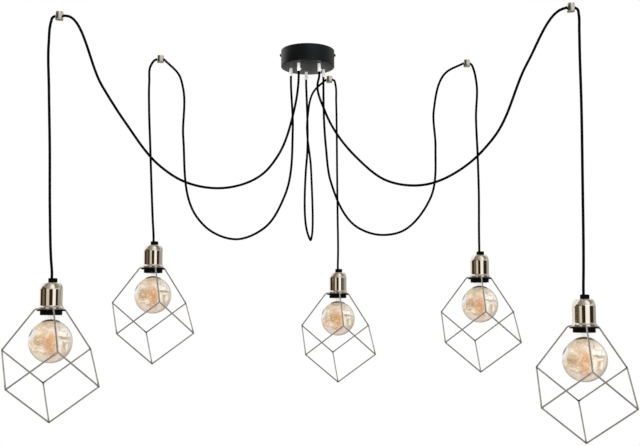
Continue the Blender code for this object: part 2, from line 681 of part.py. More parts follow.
def cap_form():
    """The bulb's screw cap with what stands in it: the glass stem and the filament's strands."""
    top = bulb_top()
    foot = top - CAP_LENGTH
    shell, contact = CAP_DIAMETER / 2, CAP_CONTACT_DIAMETER / 2
    stem, support = STEM_DIAMETER / 2, SUPPORT_DIAMETER / 2
    hub = SUPPORT_HUB_DIAMETER / 2
    stem_end = foot - STEM_LENGTH
    low_hub = stem_end - SUPPORT_LENGTH
    body = turned(((0, top), (contact, top), (contact, top - CAP_CONTACT_HEIGHT),
                   (shell, foot + CAP_LENGTH * CAP_SHELL_SHARE), (shell, foot),
                   (STEM_FOOT_DIAMETER / 2, foot), (stem, foot - STEM_FOOT_DIAMETER / 2),
                   (stem, stem_end), (hub, stem_end), (hub, stem_end - SUPPORT_HUB_HEIGHT),
                   (support, stem_end - SUPPORT_HUB_HEIGHT), (support, low_hub),
                   (hub, low_hub), (hub, low_hub - SUPPORT_HUB_HEIGHT),
                   (0, low_hub - SUPPORT_HUB_HEIGHT)), CAP_SIDES, closed=False)
    reach = hub - FILAMENT_DIAMETER
    strands = []
    for strand in range(FILAMENT_STRANDS):
        angle = 2 * math.pi * strand / FILAMENT_STRANDS
        x, y = reach * math.cos(angle), reach * math.sin(angle)
        strands.append(rod((x, y, stem_end - SUPPORT_HUB_HEIGHT / 2),
                           (x, y, low_hub - SUPPORT_HUB_HEIGHT / 2), FILAMENT_DIAMETER,
                           FILAMENT_SIDES))
    return carved(body, merged(strands), "UNION")


def swag_route(index):
    """From inside the canopy, down through the grip, along the swag and into the hook's bore."""
    x, y = grip_place(index)
    tail = -CANOPY_HEIGHT + CANOPY_WALL + SEAT_GAP + GRIP_NUT_HEIGHT + CORD_TAIL_LENGTH
    exit_level = -CANOPY_HEIGHT - GRIP_LENGTH
    hook_x, hook_y = hook_place(index)
    entry_side = -drop_sides[index]
    mouth = hook_x + entry_side * HOOK_DIAMETER / 2
    across, away = mouth - x, hook_y - y
    sag = SWAG_SAG * swag_sag_shares[index]
    path = [(x, y, tail), (x, y, exit_level), (x, y, exit_level - CORD_LEAD)]
    path += [(x + across * along - away * aside, y + away * along + across * aside,
              exit_level - sag * down) for along, down, aside in swag_point_shares[index]]
    return path + [(mouth, hook_y, -HOOK_BORE_DROP),
                   (hook_x + entry_side * SEAT_GAP / 2, hook_y, -HOOK_BORE_DROP)]


def drop_route(index):
    """From the hook's bore, over its edge and down to the socket."""
    hook_x, hook_y = hook_place(index)
    side = drop_sides[index]
    lamp_x = HOOK_REACH * lamp_side_shares[index]
    seat = -LONGEST_DROP * lamp_drop_shares[index]
    clamp_top = seat + CUP_HEIGHT + CORD_CLAMP_HEIGHT
    fall = -HOOK_BORE_DROP - clamp_top
    path = [(hook_x + side * SEAT_GAP / 2, hook_y, -HOOK_BORE_DROP),
            (hook_x + side * HOOK_DIAMETER / 2, hook_y, -HOOK_BORE_DROP)]
    path += [(hook_x + (lamp_x - hook_x) * down + side * DROP_STANDOFF * aside, hook_y,
              -HOOK_BORE_DROP - fall * down) for aside, down in drop_point_shares[index]]
    return path + [(lamp_x, hook_y, clamp_top + CORD_LEAD), (lamp_x, hook_y, clamp_top),
                   (lamp_x, hook_y, seat + socket_top() + SEAT_GAP)]


def pendant(index, forms):
    """One pendant: its swag and hook on the ceiling, and all that swings below the hook."""
    number = index + 1
    hook_x, hook_y = hook_place(index)
    place(f"hook_{number}", forms["hook"], BRIGHT_NICKEL, (hook_x, hook_y, 0))
    place(f"cord_grip_{number}", forms["grip"], WHITE_NYLON,
          (*grip_place(index), -CANOPY_HEIGHT))
    cord(f"swag_cord_{number}", swag_route(index), SWAG_POINTS)
    pivot = (hook_x, hook_y, -HOOK_BORE_DROP)
    swing = empty(f"swing_axis_{number}", pivot)
    cord(f"drop_cord_{number}", drop_route(index), DROP_POINTS, pivot, swing)
    lamp_x = HOOK_REACH * lamp_side_shares[index]
    seat = (lamp_x - hook_x, 0, HOOK_BORE_DROP - LONGEST_DROP * lamp_drop_shares[index])
    place(f"cord_clamp_{number}", forms["clamp"], BLACK_PLASTIC, seat, parent=swing)
    place(f"holder_cup_{number}", forms["cup"], BRIGHT_NICKEL, seat, parent=swing)
    place(f"bulb_socket_{number}", forms["socket"], BLACK_PLASTIC, seat, parent=swing)
    place(f"shade_ring_{number}", forms["shade_ring"], BLACK_PLASTIC, seat, parent=swing)
    place(f"cage_{number}", forms["cage"], SATIN_NICKEL, seat, cage_turns[index], swing)
    screw_axis = empty(f"bulb_axis_{number}", seat, swing)
    place(f"bulb_cap_{number}", forms["cap"], BRASS, parent=screw_axis)
    place(f"bulb_glass_{number}", forms["glass"], SMOKED_GLASS, parent=screw_axis)


def build():
    """Clears the scene and builds the whole light."""
    for piece in list(bpy.data.objects):
        bpy.data.objects.remove(piece)
    canopy_cup()
    ceiling_bracket()
    canopy_screws()
    terminal_block()
    forms = {"grip": grip_form(), "hook": hook_form(), "clamp": clamp_form(), "cup": cup_form(),
             "socket": socket_form(), "shade_ring": shade_ring_form(), "cage": cage_form(),
             "cap": cap_form(), "glass": glass_form()}
    for index in range(len(hook_side_shares)):
        pendant(index, forms)


build()
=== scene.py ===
"""Cluster pendant light: finished surfaces for a black canopy, five fabric cords that swag to small
ceiling hooks, nickel bulb holders, wire cube cages and tinted globe bulbs.

Everything is placed in metres, +Z up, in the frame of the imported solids. Profiles, and the sizes
that the solids set, are written in millimetres. Pendants are numbered from left to right."""

import math

import bmesh
import bpy
import numpy as np
from bpy.props import FloatProperty, FloatVectorProperty, IntProperty, PointerProperty
from mathutils import Matrix, Vector


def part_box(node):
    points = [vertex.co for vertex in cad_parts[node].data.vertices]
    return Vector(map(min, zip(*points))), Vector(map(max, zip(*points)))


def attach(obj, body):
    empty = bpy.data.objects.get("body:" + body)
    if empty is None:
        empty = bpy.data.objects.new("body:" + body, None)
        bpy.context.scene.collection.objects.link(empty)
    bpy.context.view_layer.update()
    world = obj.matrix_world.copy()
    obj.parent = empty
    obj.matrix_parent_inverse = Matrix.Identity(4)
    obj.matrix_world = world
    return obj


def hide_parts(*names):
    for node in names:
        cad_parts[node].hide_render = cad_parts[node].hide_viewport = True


bl_info = {
    "name": "Cluster Pendant Light",
    "version": (1, 0, 0),
    "blender": (4, 5, 0),
    "location": "3D View > Sidebar > Pendant",
    "description": "Finishes a five-cord cluster pendant light on its packed solids",
    "category": "Object",
}

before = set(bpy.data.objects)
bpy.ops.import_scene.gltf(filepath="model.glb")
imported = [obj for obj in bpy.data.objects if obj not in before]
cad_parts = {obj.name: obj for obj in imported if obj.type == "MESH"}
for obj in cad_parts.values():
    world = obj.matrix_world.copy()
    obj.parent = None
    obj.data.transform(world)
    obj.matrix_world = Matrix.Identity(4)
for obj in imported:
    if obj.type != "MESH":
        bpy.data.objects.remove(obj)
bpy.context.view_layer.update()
PENDANTS = (1, 2, 3, 4, 5)
MM = 0.001

# Sizes that the solids set, in millimetres. Levels of the screws and bores are from the ceiling
CANOPY_HEIGHT = 35.6
CANOPY_WALL = 1.5
SCREW_LEVEL = -9
TERMINAL_PITCH = 12.33
TERMINAL_REACH = 4.6
GRIP_LENGTH = 17.5
GRIP_NECK = 3.4
HOOK_RADIUS = 7.5
HOOK_HEIGHT = 15.5
BORE_LEVEL = -7.5

# Sizes of a lamp in millimetres. Its levels are from the plate of its cage
CUP_BASE = 1.1
CUP_TOP = 49.1
CLAMP_MOUTH = 56.2
CLAMP_SHIFT = 2.1
SOCKET_TOP = 41.9
RING_HOLE = 17.6
CAGE_EDGE = 114.6
CAGE_CORNERS = -76
CAP_FOOT = -6.8
THREAD_PITCH = 3.629
GLOBE_LEVEL = -59.8

# Turns of the cages, and of the bulbs when they are screwed home, in degrees. A bulb's turn sets
# which way the reflections painted on its film face
CAGE_TURNS = (24.8, 19.5, 6.6, -3.0, -9.2)
BULB_TURNS = (17.2, 10.9, -1.2, -10.5, -16.9)

# Ends of the cords in millimetres: how far one reaches above the canopy's underside, how far it
# runs straight at a grip or a clamp, and how far swag and drop stay from the middle of their hook
CORD_TAIL = 9.8
STRAIGHT_RUN = 10
FACE_GAP = 0.15

# The deepest sag of a swag, in metres, and each swag's share of it. The route of each is given in
# shares of the way across, of its sag, and of the way aside
SWAG_SAG = 0.356
SAG_SHARES = (0.733, 0.989, 1.000, 0.964, 0.731)
SWAG_SHARES = (
    ((0.028, 0.379, 0.00), (0.095, 0.709, 0.00), (0.162, 0.865, 0.00), (0.342, 1.007, 0.00),
     (0.533, 0.961, 0.00), (0.608, 0.877, 0.00), (0.753, 0.566, 0.00), (0.847, 0.309, 0.00),
     (0.993, -0.172, 0.01)),
    ((-0.015, 0.340, 0.00), (0.049, 0.752, 0.00), (0.192, 0.937, 0.00), (0.410, 1.012, 0.00),
     (0.646, 0.942, 0.00), (0.708, 0.891, 0.00), (0.839, 0.374, 0.00), (0.846, 0.053, 0.00),
     (0.869, -0.013, 0.00)),
    ((0.040, 0.082, 0.007), (0.120, 0.460, 0.021), (0.240, 0.548, 0.075), (0.380, 0.941, 0.092),
     (0.520, 0.979, 0.093), (0.660, 0.951, 0.116), (0.790, 0.497, 0.164), (0.900, 0.140, 0.250),
     (0.960, -0.050, 0.170)),
    ((0.017, 0.448, 0.00), (0.051, 0.673, 0.00), (0.244, 0.965, 0.00), (0.362, 1.003, 0.00),
     (0.526, 0.989, 0.00), (0.753, 0.761, 0.00), (0.792, 0.427, 0.00), (0.785, 0.183, 0.01),
     (0.880, -0.073, 0.01)),
    ((-0.007, 0.092, 0.00), (0.029, 0.346, 0.00), (0.175, 0.756, 0.00), (0.303, 0.954, 0.00),
     (0.463, 1.008, 0.00), (0.638, 0.871, 0.00), (0.731, 0.698, 0.00), (0.858, 0.180, 0.00),
     (0.985, -0.154, -0.02)),
)

# The side on which each drop leaves its hook: -1 is left. The route of each is given in shares of
# its stand-off to that side, in millimetres, and of the way down to the clamp
STAND_OFF = 20
DROP_SIDES = (-1, -1, 1, 1, 1)
DROP_SHARES = (
    ((0.640, 0.006), (0.776, 0.023), (0.936, 0.105), (0.786, 0.285), (0.548, 0.505),
     (0.360, 0.745), (0.130, 0.925)),
    ((0.652, 0.007), (1.019, 0.033), (1.140, 0.129), (1.045, 0.276), (0.807, 0.448),
     (0.530, 0.645), (0.160, 0.891)),
    ((0.595, 0.005), (0.711, 0.025), (0.712, 0.119), (0.619, 0.272), (0.456, 0.470),
     (0.264, 0.719), (0.105, 0.922)),
    ((0.543, 0.007), (0.720, 0.029), (0.952, 0.100), (0.641, 0.292), (0.548, 0.486),
     (0.394, 0.686), (0.088, 0.920)),
    ((0.625, 0.006), (0.713, 0.024), (0.698, 0.080), (0.647, 0.161), (0.591, 0.325),
     (0.380, 0.607), (0.110, 0.908)),
)


def middle(node):
    """Centre of a solid's box seen from above."""
    low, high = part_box(node)
    return (low.x + high.x) / 2, (low.y + high.y) / 2


def seat(number):
    """Where the axis of a pendant's lamp crosses the plate of its cage."""
    cup = f"holder_cup_{number}"
    return np.array([*middle(cup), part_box(cup)[0].z - CUP_BASE * MM])


# Shader maths

# Sockets of a Mix node that blends colours, by number
COLOUR_A, COLOUR_B, COLOUR_OUT = 6, 7, 2


class Field:
    """A value on a surface. Sums, products and the like of fields add the nodes they need."""

    def __init__(self, finish, socket):
        self.finish = finish
        self.socket = socket

    def math(self, operation, *values):
        """A Math node fed with this field and further values."""
        return self.finish.node("ShaderNodeMath", {"operation": operation},
                                dict(enumerate((self, *values))))

    def __add__(self, other):
        return self.math("ADD", other)

    __radd__ = __add__

    def __sub__(self, other):
        return self.math("SUBTRACT", other)

    def __rsub__(self, other):
        return self.finish.node("ShaderNodeMath", {"operation": "SUBTRACT"}, {0: other, 1: self})

    def __mul__(self, other):
        return self.math("MULTIPLY", other)

    __rmul__ = __mul__

    def __truediv__(self, other):
        return self.math("DIVIDE", other)

    def __mod__(self, other):
        return self.math("FLOORED_MODULO", other)

    def power(self, other):
        return self.math("POWER", other)

    def floor(self):
        return self.math("FLOOR")

    def wave(self):
        """Sine of the field in turns, from -1 to 1."""
        return (self * (2 * math.pi)).math("SINE")

    def step(self, low, high, smooth=True):
        """Rises from 0 to 1 as the field goes from low to high."""
        return self.finish.node("ShaderNodeMapRange",
                                {"interpolation_type": "SMOOTHSTEP" if smooth else "LINEAR",
                                 "clamp": True},
                                {"Value": self, "From Min": low, "From Max": high})


class Finish:
    """One material, or a world, and the nodes that make it."""

    def __init__(self, owner):
        self.material = bpy.data.materials.new(owner) if isinstance(owner, str) else owner
        self.material.use_nodes = True
        self.tree = self.material.node_tree
        self.tree.nodes.clear()

    def node(self, kind, settings=None, values=None, output=0):
        """Adds a node: its settings first, then a value or a link for each named socket."""
        node = self.tree.nodes.new(kind)
        for key, setting in (settings or {}).items():
            if key == "stops":
                ramp = node.color_ramp.elements
                while len(ramp) < len(setting):
                    ramp.new(0.5)
                for element, (position, colour) in zip(ramp, setting):
                    element.position = position
                    element.color = (*colour, 1)
            else:
                setattr(node, key, setting)
        for key, value in (values or {}).items():
            self.feed(node.inputs[key], value)
        return Field(self, node.outputs[output]) if len(node.outputs) else None

    def feed(self, socket, value):
        if isinstance(value, Field):
            self.tree.links.new(value.socket, socket)
            return
        if socket.type == "RGBA" and len(value) == 3:
            value = (*value, 1)
        socket.default_value = value

    def place(self, centre=(0, 0, 0)):
        """Object coordinates measured from a centre, in metres."""
        point = self.node("ShaderNodeTexCoord", output="Object")
        return self.node("ShaderNodeVectorMath", {"operation": "SUBTRACT"},
                         {0: point, 1: tuple(centre)})

    def parts(self, vector):
        """The x, y and z of a vector."""
        node = self.node("ShaderNodeSeparateXYZ", values={0: vector})
        outputs = node.socket.node.outputs
        return [Field(self, outputs[index]) for index in range(3)]

    def stretched(self, vector, scale):
        """A vector times another, axis by axis."""
        return self.node("ShaderNodeVectorMath", {"operation": "MULTIPLY"},
                         {0: vector, 1: tuple(scale)})

    def noise(self, vector, size, detail=2.0, roughness=0.5, distortion=0.0):
        """Soft noise from 0 to 1 whose blotches are about one size across."""
        return self.node("ShaderNodeTexNoise", None,
                         {"Vector": vector, "Scale": 1 / size, "Detail": detail,
                          "Roughness": roughness, "Distortion": distortion})

    def cells(self, vector, size):
        """Distance to the middle of the nearest of many cells about one size across."""
        return self.node("ShaderNodeTexVoronoi", None, {"Vector": vector, "Scale": 1 / size})

    def blend(self, share, first, second):
        """A colour between two, by a share."""
        return self.node("ShaderNodeMix", {"data_type": "RGBA"},
                         {0: share, COLOUR_A: first, COLOUR_B: second}, output=COLOUR_OUT)

    def coated(self, colour, *coats):
        """A colour under coats of (share, colour), each over the last."""
        for share, coat in coats:
            colour = self.blend(share, colour, coat)
        return colour

    def reach(self, across, up, centre, size):
        """Squared distance from an ellipse's centre, counted in its own radii."""
        return (((across - centre[0]) / size[0]).power(2.0)
                + ((up - centre[1]) / size[1]).power(2.0))

    def spot(self, across, up, centre, size, soft=0.7):
        """1 inside an ellipse and 0 outside it, with a soft edge as wide as a share of its size."""
        return self.reach(across, up, centre, size).step((1 + soft) ** 2, max(1 - soft, 0) ** 2)

    def loop(self, across, up, centre, size, width=0.28):
        """1 on the outline of an ellipse, fading to 0 a share of its size away."""
        return (self.reach(across, up, centre, size) - 1.0).math("ABSOLUTE").step(width, 0.0)

    def ramp(self, value, *stops):
        """A colour read off a ramp of (position, colour) stops."""
        return self.node("ShaderNodeValToRGB", {"stops": stops}, {0: value})

    def bump(self, height, depth, strength):
        """A normal bent by a height field; depth is the full height in metres."""
        return self.node("ShaderNodeBump", None,
                         {"Height": height, "Distance": depth, "Strength": strength})

    def rays(self):
        """1 for what is seen directly or through glass, and 1 for what is seen in a reflection."""
        path = self.node("ShaderNodeLightPath").socket.node.outputs
        direct, through, mirrored = (Field(self, path[f"Is {kind} Ray"])
                                     for kind in ("Camera", "Transmission", "Glossy"))
        return direct.math("MAXIMUM", through), mirrored

    def surface(self, **values):
        """The Principled shader on the material's output. Names use _ for a space."""
        shader = self.node("ShaderNodeBsdfPrincipled", None,
                           {key.replace("_", " "): value for key, value in values.items()})
        self.node("ShaderNodeOutputMaterial", None, {"Surface": shader})
        return self.material


# Surfaces worked out with numpy

# Half the angle between two sides of a profile above which they count as one line
STRAIGHT_ON = math.radians(89.5)


def ring_angles(sides):
    """Even angles round a ring, in radians."""
    return np.linspace(0, 2 * math.pi, sides, endpoint=False)


def mesh_of(name, points, around=True, along=False, capped=False, tiles=1.0):
    """A mesh on a grid of points of shape (rows, columns, 3). Neighbours in the grid are joined by
    quads; around joins the last column to the first, along joins the last row to the first, and
    capped closes the first and last rows. Its UV map runs once around, and in tiles along."""
    rows, columns = points.shape[:2]
    row, column = np.meshgrid(np.arange(rows if along else rows - 1),
                              np.arange(columns if around else columns - 1), indexing="ij")
    row, column = row[..., None] + [0, 0, 1, 1], column[..., None] + [0, 1, 1, 0]
    faces = (row % rows * columns + column % columns).reshape(-1, 4).tolist()
    uv = np.stack([column / columns, row / max(rows - 1, 1) * tiles], axis=-1).reshape(-1, 2)
    if capped:
        faces += [list(range(columns))[::-1], list(range((rows - 1) * columns, rows * columns))]
        uv = np.vstack([uv, np.zeros((2 * columns, 2))])
    mesh = bpy.data.meshes.new(name)
    mesh.from_pydata(points.reshape(-1, 3), [], faces)
    layer = mesh.uv_layers.new(name="UVMap")
    layer.data.foreach_set("uv", uv.astype(np.float32).ravel())
    return mesh


def sealed(mesh, sharp=None):
    """Merges a mesh's doubles, turns its faces outwards and shades it smooth."""
    form = bmesh.new()
    form.from_mesh(mesh)
    bmesh.ops.remove_doubles(form, verts=form.verts, dist=1e-7)
    bmesh.ops.dissolve_degenerate(form, edges=form.edges, dist=1e-8)
    bmesh.ops.recalc_face_normals(form, faces=form.faces)
    form.to_mesh(mesh)
    form.free()
    mesh.shade_smooth()
    if sharp is not None:
        mesh.set_sharp_from_angle(angle=math.radians(sharp))
    return mesh


def eased(*corners, steps=5):
    """A profile of (radius, height) points in metres. Each corner is given as its radius, height
    and fillet in millimetres; a fillet is an arc that touches both of the corner's sides."""
    corners = np.array(corners, float) * MM
    corners, fillets = corners[:, :2], corners[:, 2]
    rounded = [corners[:1]]
    for before, corner, after, fillet in zip(corners, corners[1:], corners[2:], fillets[1:-1]):
        way_in, way_out = before - corner, after - corner
        length_in, length_out = np.linalg.norm(way_in), np.linalg.norm(way_out)
        way_in, way_out = way_in / length_in, way_out / length_out
        half = math.acos(np.clip(way_in @ way_out, -1, 1)) / 2
        if fillet <= 0 or half > STRAIGHT_ON:
            rounded.append(corner[None])
            continue
        cut = min(fillet / math.tan(half), length_in * 0.49, length_out * 0.49)
        radius = cut * math.tan(half)
        share = np.linspace(-1, 1, steps + 1)[:, None] * (math.pi / 2 - half)
        bisector = (way_in + way_out) / np.linalg.norm(way_in + way_out)
        across = np.array([bisector[1], -bisector[0]])
        if across @ way_in > 0:
            across = -across
        centre = corner + bisector * radius / math.sin(half)
        rounded.append(centre - bisector * radius * np.cos(share) + across * radius * np.sin(share))
    rounded.append(corners[-1:])
    return np.vstack(rounded)


def turned(name, profile, sides, centre=(0, 0, 0), wave=None, closed=False, sharp=40):
    """A profile of (radius, height) turned about the Z axis. wave, if given, is a function of
    angle, height and radius whose value is added to the radius. closed joins the profile's ends."""
    profile = np.asarray(profile, float)
    angle = ring_angles(sides)
    radius = np.repeat(profile[:, :1], sides, axis=1)
    height = np.repeat(profile[:, 1:], sides, axis=1)
    if wave is not None:
        radius = radius + wave(angle[None, :], height, radius)
    points = np.stack([radius * np.cos(angle), radius * np.sin(angle), height], axis=-1)
    return sealed(mesh_of(name, points + np.asarray(centre, float), along=closed), sharp)


def cubic(share, start, end, leaving, arriving):
    """The cubic from start to end with given slopes at both, at shares s of the way: start times
    2s^3 - 3s^2 + 1, leaving times s^3 - 2s^2 + s, end times 3s^2 - 2s^3 and arriving times
    s^3 - s^2."""
    return ((2 * share**3 - 3 * share**2 + 1) * start + (share**3 - 2 * share**2 + share) * leaving
            + (3 * share**2 - 2 * share**3) * end + (share**3 - share**2) * arriving)


def run_to(path):
    """The length of a path up to each of its points."""
    return np.concatenate(([0], np.cumsum(np.linalg.norm(np.diff(path, axis=0), axis=1))))


def smooth_path(points, per_span=16):
    """A smooth curve through points: a cubic between each pair whose slopes are those of the
    neighbouring points, with the ends' slopes straight."""
    points = np.asarray(points, float)
    knots = run_to(points)
    chords = np.diff(knots)[:, None]
    slopes = np.gradient(points, knots, axis=0)
    slopes[0] = (points[1] - points[0]) / chords[0]
    slopes[-1] = (points[-1] - points[-2]) / chords[-1]
    share = np.linspace(0, 1, per_span, endpoint=False)[None, :, None]
    curve = cubic(share, points[:-1, None], points[1:, None],
                  (slopes[:-1] * chords)[:, None], (slopes[1:] * chords)[:, None])
    return np.vstack([curve.reshape(-1, 3), points[-1:]])


def evened(path, step):
    """The same path with its points an even step apart."""
    run = run_to(path)
    wanted = np.linspace(0, run[-1], max(int(round(run[-1] / step)), 2) + 1)
    return np.column_stack([np.interp(wanted, run, path[:, axis]) for axis in range(3)])


def tube(name, path, radius, sides):
    """A round section carried along a path, closed at both ends. Each ring is square to the path,
    and the first side of each is the part of the last ring's that is square to the path, so that
    the tube never twists. Its map is square: as many tiles along as it has girths."""
    path = np.asarray(path, float)
    tangent = np.gradient(path, axis=0)
    tangent = tangent / np.linalg.norm(tangent, axis=1)[:, None]
    side = np.cross(tangent[0], (0.0, 0.0, 1.0))
    if np.linalg.norm(side) < 0.1:
        side = np.cross(tangent[0], (1.0, 0.0, 0.0))
    first = []
    for direction in tangent:
        side = side - direction * (side @ direction)
        side = side / np.linalg.norm(side)
        first.append(side)
    first = np.array(first)
    second = np.cross(tangent, first)
    angle = ring_angles(sides)[None, :, None]
    rings = path[:, None] + radius * (np.cos(angle) * first[:, None]
                                      + np.sin(angle) * second[:, None])
    girths = run_to(path)[-1] / (2 * math.pi * radius)
    return sealed(mesh_of(name, rings, capped=True, tiles=girths))


def moved(mesh, place, turn=0, axis="Z"):
    """Turns a mesh by degrees about an axis and moves it to a place in metres."""
    mesh.transform(Matrix.Translation(place) @ Matrix.Rotation(math.radians(turn), 4, axis))
    return mesh


def joined(name, meshes):
    """Several meshes in one."""
    form = bmesh.new()
    for mesh in meshes:
        form.from_mesh(mesh)
        bpy.data.meshes.remove(mesh)
    mesh = bpy.data.meshes.new(name)
    form.to_mesh(mesh)
    form.free()
    return mesh


def piece(name, mesh, material, body, replaces=()):
    """Puts a mesh in the scene as one piece that rides on a body."""
    mesh.name = name
    mesh.materials.clear()
    mesh.materials.append(material)
    made = bpy.data.objects.new(name, mesh)
    bpy.context.scene.collection.objects.link(made)
    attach(made, body)
    if replaces:
        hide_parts(*replaces)
    return made


def detail(node, mesh, material, body, slot):
    """The finished piece of one node, in place of its solid."""
    piece(f"{node}_detail", mesh, material, body, (node,))


def coat(node, material):
    """The finish of a solid that shows as it is."""
    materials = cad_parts[node].data.materials
    materials.clear()
    materials.append(material)


def drilled(mesh, cutter):
    """A mesh with the shape of another taken out of it, by an exact Boolean that is applied."""
    objects = [bpy.data.objects.new("drilling", shape) for shape in (mesh, cutter)]
    for item in objects:
        bpy.context.scene.collection.objects.link(item)
    cut = objects[0].modifiers.new("bore", "BOOLEAN")
    cut.operation = "DIFFERENCE"
    cut.solver = "EXACT"
    cut.object = objects[1]
    graph = bpy.context.evaluated_depsgraph_get()
    result = bpy.data.meshes.new_from_object(objects[0].evaluated_get(graph), depsgraph=graph)
    for item in objects:
        bpy.data.objects.remove(item)
    return sealed(result, 35)


# Settings

def size_setting(name, description, default, low, high, unit="LENGTH"):
    """A length that the panel shows, in metres."""
    return FloatProperty(name=name, description=description, unit=unit, default=default,
                         min=low, max=high)


def colour_setting(name, description, default):
    """A colour that the panel shows, in linear light."""
    return FloatVectorProperty(name=name, description=description, subtype="COLOR", size=3,
                               min=0, max=1, default=default)


def count_setting(name, description, default, low, high):
    """A whole number that the panel shows."""
    return IntProperty(name=name, description=description, default=default, min=low, max=high)


class CanopySettings(bpy.types.PropertyGroup):
    paint: colour_setting("Paint", "Colour of the powder coat", (0.0012, 0.0014, 0.0018))
    grain: size_setting("Grain", "Size of the powder coat's fine grain", 0.0009, 0.0001, 0.01)
    edge: size_setting("Edge", "Radius of the pressed bottom edge", 0.0012, 0.0002, 0.004)


class CordSettings(bpy.types.PropertyGroup):
    diameter: size_setting("Diameter", "Diameter of the fabric cord", 0.005, 0.003, 0.01)
    colour: colour_setting("Yarn", "Colour of the braided yarn", (0.0022, 0.0020, 0.0022))
    strands: count_setting("Strands", "Strands of the braid in each direction", 10, 4, 32)


class HolderSettings(bpy.types.PropertyGroup):
    nickel: colour_setting("Nickel", "Colour of the polished nickel", (0.93, 0.895, 0.845))
    plastic: colour_setting("Plastic", "Colour of the black mouldings", (0.0026, 0.0023, 0.0023))
    ribs: count_setting("Ribs", "Grip ribs around the shade ring's skirt", 36, 12, 90)


class CageSettings(bpy.types.PropertyGroup):
    wire: size_setting("Wire", "Diameter of the cage's wire", 0.0031, 0.001, 0.006)
    bend: size_setting("Bend", "Radius of the bend in each strut", 0.008, 0.002, 0.02)
    nickel: colour_setting("Nickel", "Colour of the satin nickel wire", (0.575, 0.56, 0.54))


class BulbSettings(bpy.types.PropertyGroup):
    globe: size_setting("Globe", "Diameter of the glass globe", 0.080, 0.06, 0.125)
    tint: colour_setting("Tint", "Colour of the glass's metal tint", (0.80, 0.60, 0.40))
    glow: colour_setting("Filament", "Colour of the filament's coating", (0.90, 0.42, 0.14))


class StageSettings(bpy.types.PropertyGroup):
    floor_level: size_setting("Floor", "Height of the floor, below the ceiling", -2.4, -5, -1)
    lens: size_setting("Lens", "Focal length of the camera's lens", 48.69, 10, 200, unit="CAMERA")


SETTINGS = {"canopy": CanopySettings, "cord": CordSettings, "holder": HolderSettings,
            "cage": CageSettings, "bulb": BulbSettings, "stage": StageSettings}


def settings(name):
    """The panel's settings for one kind of piece."""
    return getattr(bpy.context.scene, f"pendant_{name}")


# Finishes

def times(colour, factor):
    """A colour made darker or lighter."""
    return tuple(value * factor for value in colour)


def worn(name, size, colours, roughness, relief, centre=(0, 0, 0), grain=(1, 1, 1), **constants):
    """A surface whose colour, roughness and fine relief follow one soft noise. Roughness is given
    as a least value and a range, relief as a depth and a strength."""
    finish = Finish(name)
    wear = finish.noise(finish.stretched(finish.place(centre), grain), size, detail=3.0)
    return finish.surface(
        Base_Color=finish.blend(wear, *colours),
        Roughness=roughness[0] + wear * roughness[1],
        Normal=finish.bump(wear, *relief), **constants)


def black_paint(name):
    """Matt powder coat: a fine orange peel, a little greyer and rougher in patches."""
    chosen = settings("canopy")
    finish = Finish(name)
    point = finish.place()
    peel = finish.noise(point, chosen.grain, detail=3.0)
    patches = finish.noise(point, 0.03, detail=2.0)
    pale = tuple(min(1, value * 1.6 + 0.001) for value in chosen.paint)
    return finish.surface(
        Base_Color=finish.blend((patches * 0.6 + peel * 0.4).step(0.35, 0.70), chosen.paint, pale),
        Roughness=0.30 + patches * 0.10 + peel * 0.05,
        Specular_IOR_Level=0.40,
        Specular_Tint=(0.78, 0.92, 1.0, 1.0),
        Normal=finish.bump(peel, 0.00012, 0.8))


def black_plastic(name, centre):
    """Moulded black plastic, nearly matt, with faint turning marks around its axis."""
    chosen = settings("holder")
    finish = Finish(name)
    point = finish.place(centre)
    bloom = finish.noise(point, 0.006, detail=3.0)
    fine = finish.noise(point, 0.0006, detail=2.0)
    turning = (finish.parts(point)[2] * 1400).wave() * 0.5 + 0.5
    return finish.surface(
        Base_Color=finish.blend(bloom, chosen.plastic, times(chosen.plastic, 1.6)),
        Roughness=0.36 + bloom * 0.16,
        Specular_IOR_Level=0.04,
        Normal=finish.bump(fine * 0.6 + turning * 0.4, 0.00002, 0.5))


def white_nylon(name):
    """White moulded nylon with a low sheen and shallow flow marks."""
    return worn(name, 0.003, ((0.98, 0.98, 0.97), (0.96, 0.96, 0.94)), (0.32, 0.12), (0.00002, 0.2),
                grain=(1, 1, 0.4))


def braid(name):
    """Dull braided yarn on a cord's own map: two sets of strands that wind opposite ways and pass
    over and under each other by turns, each strand rounded and made of fine threads."""
    chosen = settings("cord")
    finish = Finish(name)
    u, v, _ = finish.parts(finish.node("ShaderNodeTexCoord", output="UV"))
    strands = chosen.strands
    one = u * strands + v * strands
    other = u * strands - v * strands
    over = (one.floor() + other.floor()) % 2.0
    round_one = 1.0 - ((one % 1.0) * 2.0 - 1.0).power(2.0)
    round_other = 1.0 - ((other % 1.0) * 2.0 - 1.0).power(2.0)
    height = over * (0.25 + 0.75 * round_one) + (1.0 - over) * (0.25 + 0.75 * round_other)
    threads = (over * (one * 4.0).wave() + (1.0 - over) * (other * 4.0).wave()) * 0.5 + 0.5
    fuzz = finish.noise(finish.place(), 0.0012, detail=3.0)
    # Painted shade: darker where strands dip under each other, over the threads' and fuzz's own
    # tone
    shade = (height * 0.7 + threads * 0.3) * (0.6 + 0.8 * fuzz)
    return finish.surface(
        Base_Color=finish.blend(shade.step(0.1, 1.0, smooth=False),
                                times(chosen.colour, 0.6), times(chosen.colour, 1.5)),
        Roughness=0.72 + fuzz * 0.2,
        Specular_IOR_Level=0.02,
        Normal=finish.bump(height * 0.8 + threads * 0.2, 0.0002, 0.3))


